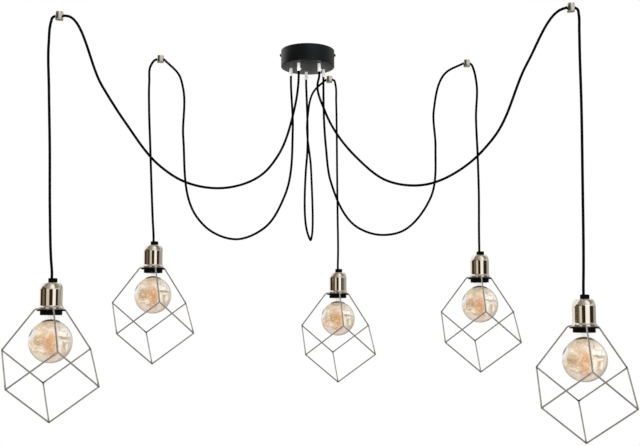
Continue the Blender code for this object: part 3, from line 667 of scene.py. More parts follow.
def bright_nickel(name, centre, matt=0.02):
    """Polished nickel: warm white, as matt as told, with faint polishing lines around its axis and
    a thin breath of haze in patches."""
    chosen = settings("holder")
    finish = Finish(name)
    point = finish.place(centre)
    haze = finish.noise(point, 0.012, detail=3.0)
    lines = finish.noise(finish.stretched(point, (1, 1, 24)), 0.01, detail=3.0)
    return finish.surface(
        Base_Color=finish.blend(haze, chosen.nickel, times(chosen.nickel, 0.93)),
        Metallic=1.0,
        Roughness=matt + haze.step(0.4, 0.8) * 0.03 + lines * 0.01,
        Normal=finish.bump(lines, 0.000005, 0.15))


def satin_nickel(name, centre):
    """Satin nickel on drawn wire: soft reflections, fine specks and a darker cast in patches."""
    chosen = settings("cage")
    finish = Finish(name)
    point = finish.place(centre)
    specks = finish.noise(point, 0.0012, detail=3.0)
    cast = finish.noise(point, 0.022, detail=2.0)
    return finish.surface(
        Base_Color=finish.blend(cast.step(0.3, 0.75), chosen.nickel, times(chosen.nickel, 0.80)),
        Metallic=1.0,
        Roughness=0.26 + specks * 0.10,
        Normal=finish.bump(specks, 0.00003, 0.4))


def zinc(name):
    """Zinc plate on pressed steel: a bluish grey with a faint spangle and long rolling marks."""
    finish = Finish(name)
    point = finish.place()
    spangle = finish.cells(point, 0.004)
    rolling = finish.noise(finish.stretched(point, (1, 30, 30)), 0.02, detail=2.0)
    return finish.surface(
        Base_Color=finish.blend(spangle, (0.62, 0.63, 0.65), (0.50, 0.51, 0.53)),
        Metallic=1.0,
        Roughness=0.30 + rolling * 0.16,
        Normal=finish.bump(rolling, 0.00003, 0.4))


def brass(name):
    """Bright brass, dulled in small patches."""
    return worn(name, 0.002, ((0.80, 0.62, 0.30), (0.62, 0.45, 0.20)), (0.22, 0.18), (0.00002, 0.3),
                Metallic=1.0)


def insulator(name):
    """Off-white moulded block of a terminal strip, with a soft sheen and shallow flow marks."""
    return worn(name, 0.005, ((0.80, 0.79, 0.76), (0.72, 0.71, 0.67)), (0.34, 0.14), (0.00005, 0.4))


def plated_cap(name, centre):
    """Plated metal of a bulb's screw cap, a little dull in patches."""
    return worn(name, 0.004, ((0.76, 0.74, 0.70), (0.60, 0.58, 0.54)), (0.20, 0.16), (0.00002, 0.3),
                centre, Metallic=1.0)


def linear(levels):
    """Linear light of an 8-bit display colour."""
    return tuple((level / 255) ** 2.2 for level in levels)


# Colours of the globes' metal film and of the reflections painted on it, from display levels
FILM_AND_REFLECTION_TONES = {name: linear(levels) for name, levels in (
    ("pearl", (254, 248, 236)), ("cream", (252, 240, 216)), ("dust", (232, 216, 200)),
    ("sage", (200, 190, 162)), ("champagne", (203, 184, 158)), ("peach", (214, 186, 156)),
    ("rose", (208, 168, 134)), ("tan", (200, 168, 132)), ("umber", (156, 126, 94)),
    ("amber", (214, 146, 86)), ("gold", (204, 158, 82)), ("ash", (204, 191, 174)),
    ("slate", (132, 118, 102)), ("ground", (226, 208, 184)), ("back", (236, 222, 204)),
    ("rim", (186, 178, 164)), ("stroke", (84, 86, 110)), ("painted_ring_reflection", (64, 50, 38)))}

# Painted reflections of the room on the film, as patches on the side that faces out when a bulb
# is screwed home. Each has its middle, across and up, half its width and half its height, in
# hundredths of the globe's radius, then its colour and how much it covers, in hundredths
REFLECTION_PATCHES = (
    (0, -76, 86, 36, "dust", 90), (10, 70, 60, 26, "champagne", 60),
    (-28, 46, 44, 46, "champagne", 90), (-33, 76, 36, 15, "sage", 80),
    (-6, 42, 24, 30, "peach", 80), (-58, 40, 14, 12, "cream", 50), (-54, 8, 24, 20, "tan", 80),
    (-26, 8, 12, 22, "tan", 50), (-20, -8, 20, 18, "rose", 60), (-70, -14, 10, 5, "tan", 60),
    (-44, -12, 14, 4, "umber", 35), (-84, -8, 8, 12, "cream", 80),
    (-33, -36, 16, 12, "cream", 100), (-66, -32, 10, 7, "cream", 80), (-50, -46, 10, 4, "tan", 60),
    (-14, -56, 18, 7, "tan", 60), (14, -56, 14, 10, "rose", 60), (50, 40, 44, 34, "pearl", 100),
    (34, 68, 16, 14, "ash", 75), (60, 66, 9, 6, "ash", 50), (62, 12, 26, 10, "ash", 90),
    (60, -24, 20, 34, "ash", 90), (56, -16, 8, 16, "tan", 60), (56, -42, 10, 12, "peach", 60),
    (36, -16, 12, 28, "pearl", 100), (72, -22, 5, 16, "pearl", 90), (64, 5, 12, 4, "pearl", 80),
    (62, 18, 18, 2.5, "slate", 70), (44, 22, 9, 4, "slate", 70), (-64, 0, 10, 6, "umber", 50),
    (-38, 2, 5, 10, "umber", 40), (-54, -28, 13, 4, "umber", 50), (-26, -52, 14, 4, "umber", 40),
    (56, 48, 10, 3, "slate", 50), (38, 60, 3, 10, "slate", 45), (72, 40, 3, 12, "slate", 40),
)

# Thin loops of painted reflection round some of the patches, written in the same way
REFLECTION_LOOPS = (
    (-26, 16, 60, 64, "tan", 60), (-56, -26, 22, 15, "tan", 70), (-30, -36, 19, 13, "tan", 60),
    (36, -16, 14, 30, "ash", 80), (70, -22, 10, 22, "umber", 40), (50, -34, 10, 18, "tan", 40),
    (32, 70, 12, 14, "slate", 30), (62, 42, 20, 16, "ash", 60),
)

# The filament's glow painted into the film as its image, straight down the middle of that side
FILAMENT_GLOW = (
    (3, -10, 24, 46, "rose", 80), (5, -2, 13, 28, "amber", 55), (-12, -6, 4, 14, "amber", 30),
    (8, -16, 3.5, 20, "gold", 50), (4, -34, 5, 10, "amber", 40),
)


def film_rows(rows):
    """Rows of the tables of film tones and painted reflections as colour, cover, middle and size.
    """
    for across, up, wide, high, film, cover in rows:
        yield FILM_AND_REFLECTION_TONES[film], cover / 100, ((across / 100, up / 100), (wide / 100, high / 100))


def film_with_painted_reflections(finish, drift, folds, side, level):
    """The film on the side that faces out, its own ground tone under painted reflections: patches,
    the filament's painted image and thin loops, each a little warped, then veins and flecks, mostly
    on the brown side, and a mottle all over."""
    warp = finish.noise(drift, 0.016, detail=2.0) - 0.5
    warp_up = finish.noise(drift, 0.011, detail=2.0) - 0.5
    place = (side + warp * 0.16, level + warp_up * 0.14)
    # Painted reflections and the filament's painted image, coat over coat on the film's ground
    coats = [(finish.spot(*place, *spot) * cover, film)
             for film, cover, spot in film_rows(REFLECTION_PATCHES)]
    coats += [(finish.spot(side + warp * 0.08, level, *spot, 0.9) * cover, film)
              for film, cover, spot in film_rows(FILAMENT_GLOW)]
    coats += [(finish.loop(*place, *spot) * cover * folds.step(0.3, 0.6), film)
              for film, cover, spot in film_rows(REFLECTION_LOOPS)]
    swirl = finish.noise(drift, 0.014, detail=2.5, roughness=0.5, distortion=1.6)
    vein = (swirl - 0.5).math("ABSOLUTE").step(0.035, 0.0)
    fleck = swirl.step(0.58, 0.70)
    mottle = finish.noise(drift, 0.012, detail=1.0, distortion=1.4)
    brown_zone = finish.spot(side, level, (-0.48, -0.06), (0.42, 0.36), 0.6)
    pale_zone = finish.spot(side, level, (0.55, 0.25), (0.42, 0.60), 0.6)
    ground = finish.blend(folds.step(0.35, 0.65), FILM_AND_REFLECTION_TONES["ground"], times(FILM_AND_REFLECTION_TONES["ground"], 0.86))
    return finish.coated(
        ground, *coats,
        (vein * brown_zone * 0.45, FILM_AND_REFLECTION_TONES["umber"]),
        (fleck * brown_zone * 0.6, FILM_AND_REFLECTION_TONES["cream"]),
        (vein * pale_zone * 0.35, FILM_AND_REFLECTION_TONES["ash"]),
        (mottle.step(0.50, 0.68) * 0.30, FILM_AND_REFLECTION_TONES["pearl"]),
        (mottle.step(0.44, 0.30) * (0.08 + brown_zone * 0.30), FILM_AND_REFLECTION_TONES["umber"]))


def tinted_glass(name, centre, turn):
    """Mirror-tinted glass: a champagne film painted with the room's reflections on the side that
    turn says and a plain tint behind, with a painted grey edge shade at the rim, a bare edge with a
    dark stroke on it, and a brown painted reflection of the shade ring at the top, under the cap."""
    chosen = settings("bulb")
    finish = Finish(name)
    x, y, z = finish.parts(finish.place(centre))
    drift = finish.place(centre * 3)
    folds = finish.noise(finish.stretched(drift, (1.0, 1.0, 0.7)), 0.012, detail=3.0,
                         distortion=1.2)
    radius = chosen.globe / 2
    side = (x * math.cos(turn) + y * math.sin(turn)) / radius
    toward = (x * math.sin(turn) - y * math.cos(turn)) / radius
    level = z / radius
    back = finish.blend(folds.step(0.40, 0.60), FILM_AND_REFLECTION_TONES["back"], chosen.tint)
    face = film_with_painted_reflections(finish, drift, folds, side, level)
    # Painted edge shade: grey painted where the glass is seen edge-on, wider on the right and below
    rim = finish.node("ShaderNodeLayerWeight", None, {"Blend": 0.35}, output="Facing")
    thick = side.step(-0.2, 0.5) * 0.20 + level.step(0.0, -0.6) * 0.08
    bare = finish.spot(side, level, (-1.00, 0.38), (0.30, 0.42), 0.5) * 0.9
    bare = bare.math("MAXIMUM", (side * side + level * level).step(1.005, 1.03))
    lean = side - (level - 0.40) * 0.46
    stroke = finish.spot(lean, level, (-0.875, 0.40), (0.048, 0.20), 0.4)
    stroke = stroke * toward.step(-0.02, 0.06)
    # A painted reflection of the black shade ring: a brown arc across the top of the globe
    painted_ring_reflection = finish.spot(side, level + side * side * 0.5, (0.0, 0.985), (0.42, 0.040), 0.6)
    cover = 0.94 - bare * 0.88 + rim.step(0.80, 1.0) * 0.16
    cover = cover.math("MAXIMUM", stroke * 0.9).math("MAXIMUM", painted_ring_reflection)
    return finish.surface(
        Base_Color=finish.coated(back, (toward.step(-0.10, 0.10), face),
                                 ((rim + thick).step(0.60, 0.84) * 0.85, FILM_AND_REFLECTION_TONES["rim"]),
                                 (stroke, FILM_AND_REFLECTION_TONES["stroke"]), (painted_ring_reflection, FILM_AND_REFLECTION_TONES["painted_ring_reflection"])),
        Roughness=0.06 + folds * 0.06,
        Specular_IOR_Level=0.35,
        Alpha=cover.math("MINIMUM", 1.0),
        Normal=finish.bump(folds, 0.0008, 0.3))


def clear_glass(name, centre):
    """Clear glass of the stem inside a bulb, seen mostly by its edges."""
    finish = Finish(name)
    point = finish.place(centre)
    ripple = finish.noise(point, 0.006, detail=2.0)
    rim = finish.node("ShaderNodeLayerWeight", None, {"Blend": 0.4}, output="Facing")
    return finish.surface(
        Base_Color=(0.86, 0.84, 0.82),
        Roughness=0.06 + ripple * 0.05,
        Alpha=0.12 + rim.step(0.4, 1.0) * 0.5,
        Normal=finish.bump(ripple, 0.0004, 0.3))


def phosphor(name, centre):
    """Coated filament: orange, a little paler along its middle, with a weak glow of its own."""
    chosen = settings("bulb")
    finish = Finish(name)
    point = finish.place(centre)
    grains = finish.noise(point, 0.002, detail=2.0)
    return finish.surface(
        Base_Color=finish.blend(grains, chosen.glow, (0.96, 0.66, 0.38)),
        Roughness=0.5 + grains * 0.2,
        Emission_Color=finish.blend(grains, chosen.glow, (0.96, 0.60, 0.34)),
        Emission_Strength=0.25,
        Normal=finish.bump(grains, 0.0002, 0.5))


# The stage

# The camera, fitted to the photograph's ellipses and levels, in metres and degrees
CAMERA_PLACE = (0.0268, -1.8528, -0.5787)
CAMERA_TILT = 93.703
CAMERA_SHIFT = 0.06
FLOOR_REACH = 8.0

# The lamps: place, aim, size, power and colour. Polished metal reflects the panels only
LAMPS = {
    "key": ((-1.6, -2.4, 0.9), (0, 0, -0.45), (1.6, 1.6), 20, (1, 1, 1)),
    "fill": ((2.2, -2.0, 0.2), (0, 0, -0.45), (1.8, 1.8), 6, (1, 1, 1)),
    "back": ((0.6, 2.6, 0.6), (0, 0, -0.35), (2.0, 2.0), 12, (1, 1, 1)),
    "right_panel": ((0.95, -1.64, -0.5), (0.17, -0.02, -0.5), (1.11, 1.0), 3.5, (1, 0.96, 0.89)),
    "left_panel": ((-0.88, -1.58, -0.5), (0.1, -0.6, -0.5), (0.80, 1.0), 1.65, (1, 0.89, 0.76)),
}

# Tones of the studio as polished metal sees it. The last two are the floor, near and far
STUDIO = {"white": (1.0, 0.98, 0.94), "linen": (0.78, 0.74, 0.68), "mist": (0.40, 0.375, 0.335),
          "drab": (0.18, 0.148, 0.10), "olive": (0.12, 0.095, 0.05), "dim": (0.26, 0.22, 0.17),
          "coffee": (0.030, 0.020, 0.008), "shade": (0.37, 0.34, 0.28), "fawn": (0.68, 0.65, 0.58),
          "moss": (0.05, 0.05, 0.038), "silver": (0.58, 0.58, 0.56),
          "underneath": (0.52, 0.50, 0.47), "downward": (0.17, 0.155, 0.145)}

# Where each tone starts and ends by bearing: 0 is the camera's side, 90 the right and -90 the left,
# in degrees. The panels stand level with the holders, the loft with the hooks
PANELS = ((-180, "white"), (-140, "white"), (-128, "linen"), (-116, "linen"), (-110, "coffee"),
          (-82, "coffee"), (-76, "drab"), (-52, "olive"), (-47, "coffee"), (80, "coffee"),
          (90, "mist"), (130, "mist"), (146, "fawn"), (158, "white"), (180, "white"))
LOFT = ((-180, "white"), (-108, "white"), (-94, "moss"), (-22, "moss"), (2, "silver"),
        (110, "silver"), (140, "shade"), (180, "shade"))
OVERHEAD = ((-180, "white"), (-94, "white"), (-82, "shade"), (-72, "dim"), (-44, "dim"),
            (-30, "shade"), (-10, "shade"), (4, "fawn"), (22, "white"), (44, "white"), (58, "dim"),
            (82, "dim"), (104, "shade"), (128, "fawn"), (150, "white"), (180, "white"))


def studio_world(scene):
    """A white surround for the camera and for soft light. Only reflections see the studio: tall
    pale and dark panels, a loft above them, a third row overhead and the floor's tone below."""
    scene.world = bpy.data.worlds.new("studio")
    finish = Finish(scene.world)
    direction = finish.node("ShaderNodeTexCoord", output="Generated")
    x, y, z = finish.parts(direction)
    bearing = x.math("ARCTAN2", y * -1.0) / (2 * math.pi) + 0.5
    panels, loft, overhead = (finish.ramp(bearing, *(((degrees + 180) / 360, STUDIO[tone])
                                                     for degrees, tone in bands))
                              for bands in (PANELS, LOFT, OVERHEAD))
    room = finish.coated(panels, (z.step(0.12, 0.20), loft), (z.step(0.36, 0.46), overhead),
                         (z.step(0.80, 0.95), STUDIO["shade"]),
                         ((z * -1.0).step(0.14, 0.34), STUDIO["downward"]))
    seen, glossy = finish.rays()
    white = (1.0, 1.0, 1.0)
    colour = finish.coated(white, (glossy, room), (seen, white))
    shader = finish.node("ShaderNodeBackground", None, {"Color": colour, "Strength": 1.0})
    finish.node("ShaderNodeOutputWorld", None, {"Surface": shader})


def floor_finish():
    """Pale floor that the camera sees as white and reflections see as dull, and that isn't there
    from below."""
    finish = Finish("floor")
    seen, glossy = finish.rays()
    plain = finish.node("ShaderNodeBsdfDiffuse", None, {"Color": (0.80, 0.80, 0.80)})
    white = finish.node("ShaderNodeEmission", None, {"Color": (1, 1, 1), "Strength": 0.55})
    both = finish.node("ShaderNodeAddShader", None, {0: plain, 1: white})
    lit = finish.node("ShaderNodeMixShader", None, {0: seen, 1: plain, 2: both})
    away = finish.parts(finish.place())[1].step(0.9, 1.7)
    colour = finish.blend(away, STUDIO["underneath"], STUDIO["downward"])
    dull = finish.node("ShaderNodeEmission", None, {"Color": colour, "Strength": 1.0})
    lit = finish.node("ShaderNodeMixShader", None, {0: glossy, 1: lit, 2: dull})
    below = finish.node("ShaderNodeNewGeometry", output="Backfacing")
    clear = finish.node("ShaderNodeBsdfTransparent")
    shown = finish.node("ShaderNodeMixShader", None, {0: below, 1: lit, 2: clear})
    finish.node("ShaderNodeOutputMaterial", None, {"Surface": shown})
    return finish.material


class PENDANT_OT_stage(bpy.types.Operator):
    """Adds the camera, the soft studio light, the world and a pale floor"""
    bl_idname = "pendant.stage"
    bl_label = "Stage"

    def execute(self, context):
        chosen = settings("stage")
        scene = context.scene
        scene.view_settings.view_transform = "Standard"
        lens = bpy.data.cameras.new("camera")
        lens.sensor_width = 36
        lens.lens = chosen.lens
        lens.shift_y = CAMERA_SHIFT
        lens.clip_end = 100
        camera = bpy.data.objects.new("camera", lens)
        camera.location = CAMERA_PLACE
        camera.rotation_euler = (math.radians(CAMERA_TILT), 0, 0)
        scene.collection.objects.link(camera)
        scene.camera = camera
        studio_world(scene)
        for name, (place, aim, size, power, colour) in LAMPS.items():
            area = bpy.data.lights.new(name, "AREA")
            area.color = colour
            area.shape = "RECTANGLE"
            area.size, area.size_y = size
            area.energy = power
            lamp = bpy.data.objects.new(name, area)
            lamp.location = place
            way = Vector(aim) - Vector(place)
            lamp.rotation_euler = way.to_track_quat("-Z", "Y").to_euler()
            lamp.visible_glossy = name.endswith("panel")
            scene.collection.objects.link(lamp)
        ends = (-FLOOR_REACH, FLOOR_REACH)
        corners = np.array([[(x, y, chosen.floor_level) for x in ends] for y in ends])
        floor_mesh = mesh_of("floor", corners, around=False)
        floor_mesh.materials.append(floor_finish())
        floor = bpy.data.objects.new("floor", floor_mesh)
        scene.collection.objects.link(floor)
        return {"FINISHED"}


# The pieces

def swag_path(number):
    """The route of a swag, from inside the canopy to the middle of its hook's bore: straight down
    out of its grip, then through the points that its shares give."""
    index = number - 1
    x, y = middle(f"cord_grip_{number}")
    hook_x, hook_y = middle(f"hook_{number}")
    bore = BORE_LEVEL * MM
    entry = -DROP_SIDES[index]
    mouth = hook_x + entry * HOOK_RADIUS * MM
    across, away = mouth - x, hook_y - y
    level = -(CANOPY_HEIGHT + GRIP_LENGTH) * MM
    sag = SWAG_SAG * SAG_SHARES[index]
    route = [(x, y, level), (x, y, level - STRAIGHT_RUN * MM)]
    route += [(x + across * along - away * aside, y + away * along + across * aside,
               level - sag * down) for along, down, aside in SWAG_SHARES[index]]
    route.append((mouth, hook_y, bore))
    return np.vstack([[(x, y, (CORD_TAIL - CANOPY_HEIGHT) * MM)], smooth_path(route),
                      [(hook_x + entry * FACE_GAP * MM, hook_y, bore)]])


def drop_path(number):
    """The route of a drop, from the middle of its hook's bore down into its holder: through the
    points that its shares give, then straight down into its clamp."""
    index = number - 1
    hook_x, hook_y = middle(f"hook_{number}")
    lamp_x, _, level = seat(number)
    bore = BORE_LEVEL * MM
    side = DROP_SIDES[index]
    clamp = level + CLAMP_MOUTH * MM
    route = [(hook_x + side * HOOK_RADIUS * MM, hook_y, bore)]
    route += [(hook_x + (lamp_x - hook_x) * down + side * STAND_OFF * MM * aside, hook_y,
               bore - (bore - clamp) * down) for aside, down in DROP_SHARES[index]]
    route += [(lamp_x, hook_y, clamp + STRAIGHT_RUN * MM), (lamp_x, hook_y, clamp)]
    return np.vstack([[(hook_x + side * FACE_GAP * MM, hook_y, bore)], smooth_path(route),
                      [(lamp_x, hook_y, level + SOCKET_TOP * MM)]])


class PENDANT_OT_cords(bpy.types.Operator):
    """Braids the five fabric cords, each as a swag to its hook and a drop to its lamp"""
    bl_idname = "pendant.cords"
    bl_label = "Cords"

    def execute(self, context):
        diameter = settings("cord").diameter
        yarn = braid("braided_yarn")
        for number in PENDANTS:
            for node, route, body in (
                    (f"swag_cord_{number}", swag_path(number), "root"),
                    (f"drop_cord_{number}", drop_path(number), f"pendant_{number}")):
                path = evened(route, 2.5 * MM)
                fabric = piece(f"{node}_fabric", tube("fabric", path, diameter / 2, 14), yarn, body,
                               (node,))
        return {"FINISHED"}


class PENDANT_OT_canopy(bpy.types.Operator):
    """Makes the canopy with its screws, bracket and terminal block"""
    bl_idname = "pendant.canopy"
    bl_label = "Canopy"

    def execute(self, context):
        low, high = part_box("canopy_cup")
        outer, floor = (high.x - low.x) / 2 / MM, -CANOPY_HEIGHT
        inner, inside = outer - CANOPY_WALL, floor + CANOPY_WALL
        edge = settings("canopy").edge / MM
        profile = eased((0, floor, 0), (outer, floor, edge), (outer, 0, 0.3), (inner, 0, 0.3),
                        (inner, inside, 1.0), (0, inside, 0))
        paint = black_paint("black_powder_coat")
        piece("canopy_shell", turned("canopy", profile, 128), paint, "root",
              ("canopy_cup",))
        for number, side in ((1, -1), (2, 1)):
            screw = moved(side_screw(), (side * outer * MM, 0, SCREW_LEVEL * MM), side * 90, "Y")
            detail(f"canopy_screw_{number}", screw, paint, "root", "black_paint")
        coat("ceiling_bracket", zinc("zinc_plate"))
        coat("terminal_block", insulator("terminal_body"))
        piece("terminal_screws", terminal_screws(), brass("terminal_brass"), "root")
        return {"FINISHED"}


def bar(size, level, turn):
    """A bar that cuts a slot: its size and level in millimetres, turned by degrees about Z."""
    form = bmesh.new()
    bmesh.ops.create_cube(form, size=MM)
    bmesh.ops.scale(form, vec=size, verts=form.verts)
    mesh = bpy.data.meshes.new("bar")
    form.to_mesh(mesh)
    form.free()
    return moved(mesh, (0, 0, level * MM), turn)


def side_screw():
    """A pan-head screw with a cross recess: a turned head and shank, less two crossed slots."""
    screw = turned("screw", eased((0, -7.8, 0), (1.7, -7.8, 0.3), (1.7, 0.3, 0), (3.3, 0.3, 0.1),
                                  (3.3, 1.4, 0.7), (1.8, 2.7, 0.6), (0, 2.7, 0)), 40)
    for turn in (0, 90):
        screw = drilled(screw, bar((3.0, 0.7, 2.0), 2.7, turn))
    return screw


def terminal_screws():
    """The two slotted clamp screws under each pole of the terminal block, each turned a little
    further than the last."""
    profile = eased((0, 0.3, 0), (2.1, 0.3, 0), (2.1, -0.9, 0.3), (0, -0.9, 0))
    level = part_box("terminal_block")[0].z
    heads = []
    for pole in (-1, 0, 1):
        for side in (-1, 1):
            slot = bar((6, 0.6, 1.0), -0.9, 25 + 11.097 * pole)
            heads.append(moved(drilled(turned("head", profile, 32), slot),
                               (pole * TERMINAL_PITCH * MM, side * TERMINAL_REACH * MM, level)))
    return joined("heads", heads)


class PENDANT_OT_grips(bpy.types.Operator):
    """Turns the five cord grips and their set screws, and the five ceiling hooks"""
    bl_idname = "pendant.grips"
    bl_label = "Grips and hooks"

    def execute(self, context):
        nylon = white_nylon("white_nylon")
        for number in PENDANTS:
            x, y = middle(f"cord_grip_{number}")
            detail(f"cord_grip_{number}", grip_mesh((x, y, 0)), nylon, "root", "white_nylon")
            piece(f"grip_set_screw_{number}", set_screw_mesh((x, y, 0)), nylon, "root")
            place = (*middle(f"hook_{number}"), 0)
            nickel = bright_nickel(f"hook_nickel_{number}", place, 0.12)
            detail(f"hook_{number}", hook_mesh(place), nickel, "root", "bright_nickel")
        return {"FINISHED"}


def grip_mesh(place):
    """The grip: a sleeve below the canopy, a neck through its wall and a round nut inside."""
    bore, neck, nut = 2.6, GRIP_NECK, 5.5
    top, foot = -CANOPY_HEIGHT, -CANOPY_HEIGHT - GRIP_LENGTH
    profile = eased((bore, foot, 0), (neck, foot, 0.5), (neck, top - 0.1, 0.2), (neck, top, 0),
                    (neck, top + 1.8, 0), (nut, top + 1.8, 0.2), (nut, top + 4.8, 0.3),
                    (bore, top + 4.8, 0))
    return turned("grip", profile, 48, place, closed=True)


def set_screw_mesh(place):
    """The set screw: a small round stud that stands out of the sleeve, near its foot."""
    x, y, _ = place
    stud = turned("stud", eased((0, 0, 0), (1.7, 0, 0), (1.7, 2.6, 0.4), (0, 2.6, 0)), 24)
    moved(stud, ((GRIP_NECK - 0.4) * MM, 0, 0), 90, "Y")
    return moved(stud, (x, y, (4 - CANOPY_HEIGHT - GRIP_LENGTH) * MM), -35)


def hook_mesh(place):
    """The hook: a drum with a bore straight across it for the cord."""
    drum = turned("drum", eased((0, -HOOK_HEIGHT, 0), (HOOK_RADIUS, -HOOK_HEIGHT, 0.8),
                                (HOOK_RADIUS, 0, 0.3), (0, 0, 0)), 72)
    ends = np.array([(-12, 0, BORE_LEVEL), (12, 0, BORE_LEVEL)]) * MM
    return moved(drilled(drum, tube("bore", np.linspace(*ends, 4), 3.0 * MM, 32)), place)


class PENDANT_OT_holders(bpy.types.Operator):
    """Spins the nickel cups and moulds the clamps, sockets and shade rings of the five holders"""
    bl_idname = "pendant.holders"
    bl_label = "Bulb holders"

    def execute(self, context):
        ribs = settings("holder").ribs
        for number in PENDANTS:
            place = seat(number)
            nickel = bright_nickel(f"cup_nickel_{number}", place)
            black = black_plastic(f"holder_black_{number}", place)
            for kind, mesh, finish, slot in (
                    ("holder_cup", cup_mesh(place), nickel, "bright_nickel"),
                    ("cord_clamp", clamp_mesh(place), black, "black_plastic"),
                    ("shade_ring", shade_ring_mesh(place, ribs), black, "black_plastic"),
                    ("bulb_socket", socket_mesh(place), black, "black_plastic")):
                detail(f"{kind}_{number}", mesh, finish, f"pendant_{number}", slot)
        return {"FINISHED"}


def cup_mesh(place):
    """The cup: a narrow foot between the struts, a rolled lip that flares over them, a straight
    wall, a shoulder halfway between a cone and a dome, and a flat crown with a hole."""
    wall, foot, lip, top, hole, thick = 21.0, 21.9, 23.1, 15.6, 5.3, 1.1
    shoulder = CUP_TOP - 12.3
    turn = np.linspace(0, math.pi / 2, 16)
    cone = turn * 2 / math.pi
    width, rise = (np.cos(turn) + 1 - cone) / 2, (np.sin(turn) + cone) / 2
    dome = np.column_stack([top + (wall - top) * width,
                            shoulder + (CUP_TOP - 0.2 - shoulder) * rise]) * MM
    outer = eased((foot, CUP_BASE, 0), (foot, 2.35, 0.1), (lip, 2.35, 0.35), (lip, 3.2, 0.6),
                  (wall, 6.0, 3.0), (wall, shoulder - 0.5, 0))
    crown = eased((top - 0.4, CUP_TOP, 0), (top - 1.6, CUP_TOP, 0.4), (hole, CUP_TOP, 0.2),
                  (hole, CUP_TOP - thick, 0), (top - thick, CUP_TOP - thick, 1),
                  (wall - thick, shoulder, 4), (wall - thick, CUP_BASE, 0))
    return turned("cup", np.vstack([outer, dome, crown]), 96, place, closed=True)


def clamp_mesh(place):
    """The cord clamp: a knob with a rounded top and a side of 40 fine ribs, each a cosine."""
    radius, low, high = 8.25, CUP_TOP + 0.3, CUP_TOP + 8.5
    profile = eased((0, low, 0), (radius, low, 0.4), (radius, high, 0.9), (0, high, 0))
    side = np.array([(radius, low + 2), (radius, low + 5)]) * MM
    profile = np.vstack([profile[:7], side, profile[7:]])

    def ribs(angle, height, width):
        inside = np.clip((width / (radius * MM) - 0.97) / 0.03, 0, 1)
        return -0.18 * MM * inside * (0.5 + 0.5 * np.cos(40 * angle))

    x, y, z = place
    return moved(turned("clamp", profile, 160, wave=ribs), (x + CLAMP_SHIFT * MM, y, z))


def shade_ring_mesh(place, ribs):
    """The shade ring: a thin flange, and a skirt with shallow grip ribs and a rounded foot."""
    flange, skirt = 25.75, 20.0
    top, under, foot = -1.1, -3.6, -11.1
    profile = eased((RING_HOLE, top, 0), (flange, top, 0.7), (flange, under, 0.7),
                    (skirt, under, 0.6), (skirt, foot, 0.8), (RING_HOLE, foot, 0))
    dense = [profile[:1]]
    for before, after in zip(profile, profile[1:]):
        steps = max(int(np.linalg.norm(after - before) / (1.2 * MM)), 1)
        dense.append(np.linspace(before, after, steps + 1)[1:])

    def grip(angle, height, width):
        side = ((np.abs(width - skirt * MM) < 0.05 * MM) & (height < (under - 1) * MM)
                & (height > (foot + 1) * MM))
        return -0.35 * MM * side * (0.5 + 0.5 * np.cos(ribs * angle)) ** 2

    return turned("shade_ring", np.vstack(dense), ribs * 6, place, wave=grip, closed=True)


def socket_mesh(place):
    """The socket: a thimble whose threaded sleeve passes through the shade ring."""
    top = SOCKET_TOP - 0.3
    body, sleeve, mouth, bore = 19.1, 16.9, 15.2, 13.6
    profile = eased((0, 20.5, 0), (bore - 4, 20.5, 0), (bore, 18, 1), (bore, -4.5, 0.3),
                    (mouth, -4.5, 0.3), (mouth, -10.5, 0.3), (sleeve, -10.5, 0.3),
                    (sleeve, CUP_BASE, 0.2), (body, CUP_BASE, 0.3), (body, top - 6, 2),
                    (14, top, 1), (0, top, 0))
    return turned("socket", profile, 72, place)


class PENDANT_OT_cages(bpy.types.Operator):
    """Bends and welds the five wire cages"""
    bl_idname = "pendant.cages"
    bl_label = "Cages"

    def execute(self, context):
        for number, turn in zip(PENDANTS, CAGE_TURNS):
            place = seat(number)
            detail(f"cage_{number}", moved(cage_mesh(), place, turn),
                   satin_nickel(f"cage_nickel_{number}", place), f"pendant_{number}",
                   "satin_nickel")
        return {"FINISHED"}


def cage_mesh():
    """One cage: a plate with a hole, three bent struts and the cube's nine lower edges, with a
    small round weld at each corner. A cube on its corner has its next corners a third of its
    diagonal up, at the square root of two thirds of its edge from the axis."""
    radius = settings("cage").wire / 2
    rise, reach = CAGE_EDGE * MM / math.sqrt(3), CAGE_EDGE * MM * math.sqrt(2 / 3)
    level = CAGE_CORNERS * MM
    thirds = np.radians([0, 120, 240])
    spread = reach * np.column_stack([np.sin(thirds), -np.cos(thirds)])
    upper = np.column_stack([spread, np.full(3, level)])
    lower = np.column_stack([-spread, np.full(3, level - rise)])
    bottom = np.array([0, 0, level - 2 * rise])
    shapes = [turned("plate", eased((RING_HOLE, -0.8, 0), (24, -0.8, 0.5), (24, 0.8, 0.5),
                                    (RING_HOLE, 0.8, 0)), 72, closed=True)]
    wires = [(bottom, foot) for foot in lower]
    wires += [(foot, corner) for index, corner in enumerate(upper)
              for other, foot in enumerate(lower) if other != index]
    shapes += [tube("wire", np.linspace(*ends, 9), radius, 12) for ends in wires]
    shapes += [tube("strut", strut_line(corner), radius, 12) for corner in upper]
    turn = np.linspace(-math.pi / 2, math.pi / 2, 9)
    weld = np.column_stack([np.cos(turn), np.sin(turn)]) * radius * 1.03
    shapes += [turned("weld", weld, 14, corner, sharp=None) for corner in (bottom, *lower, *upper)]
    return joined("cage", shapes)


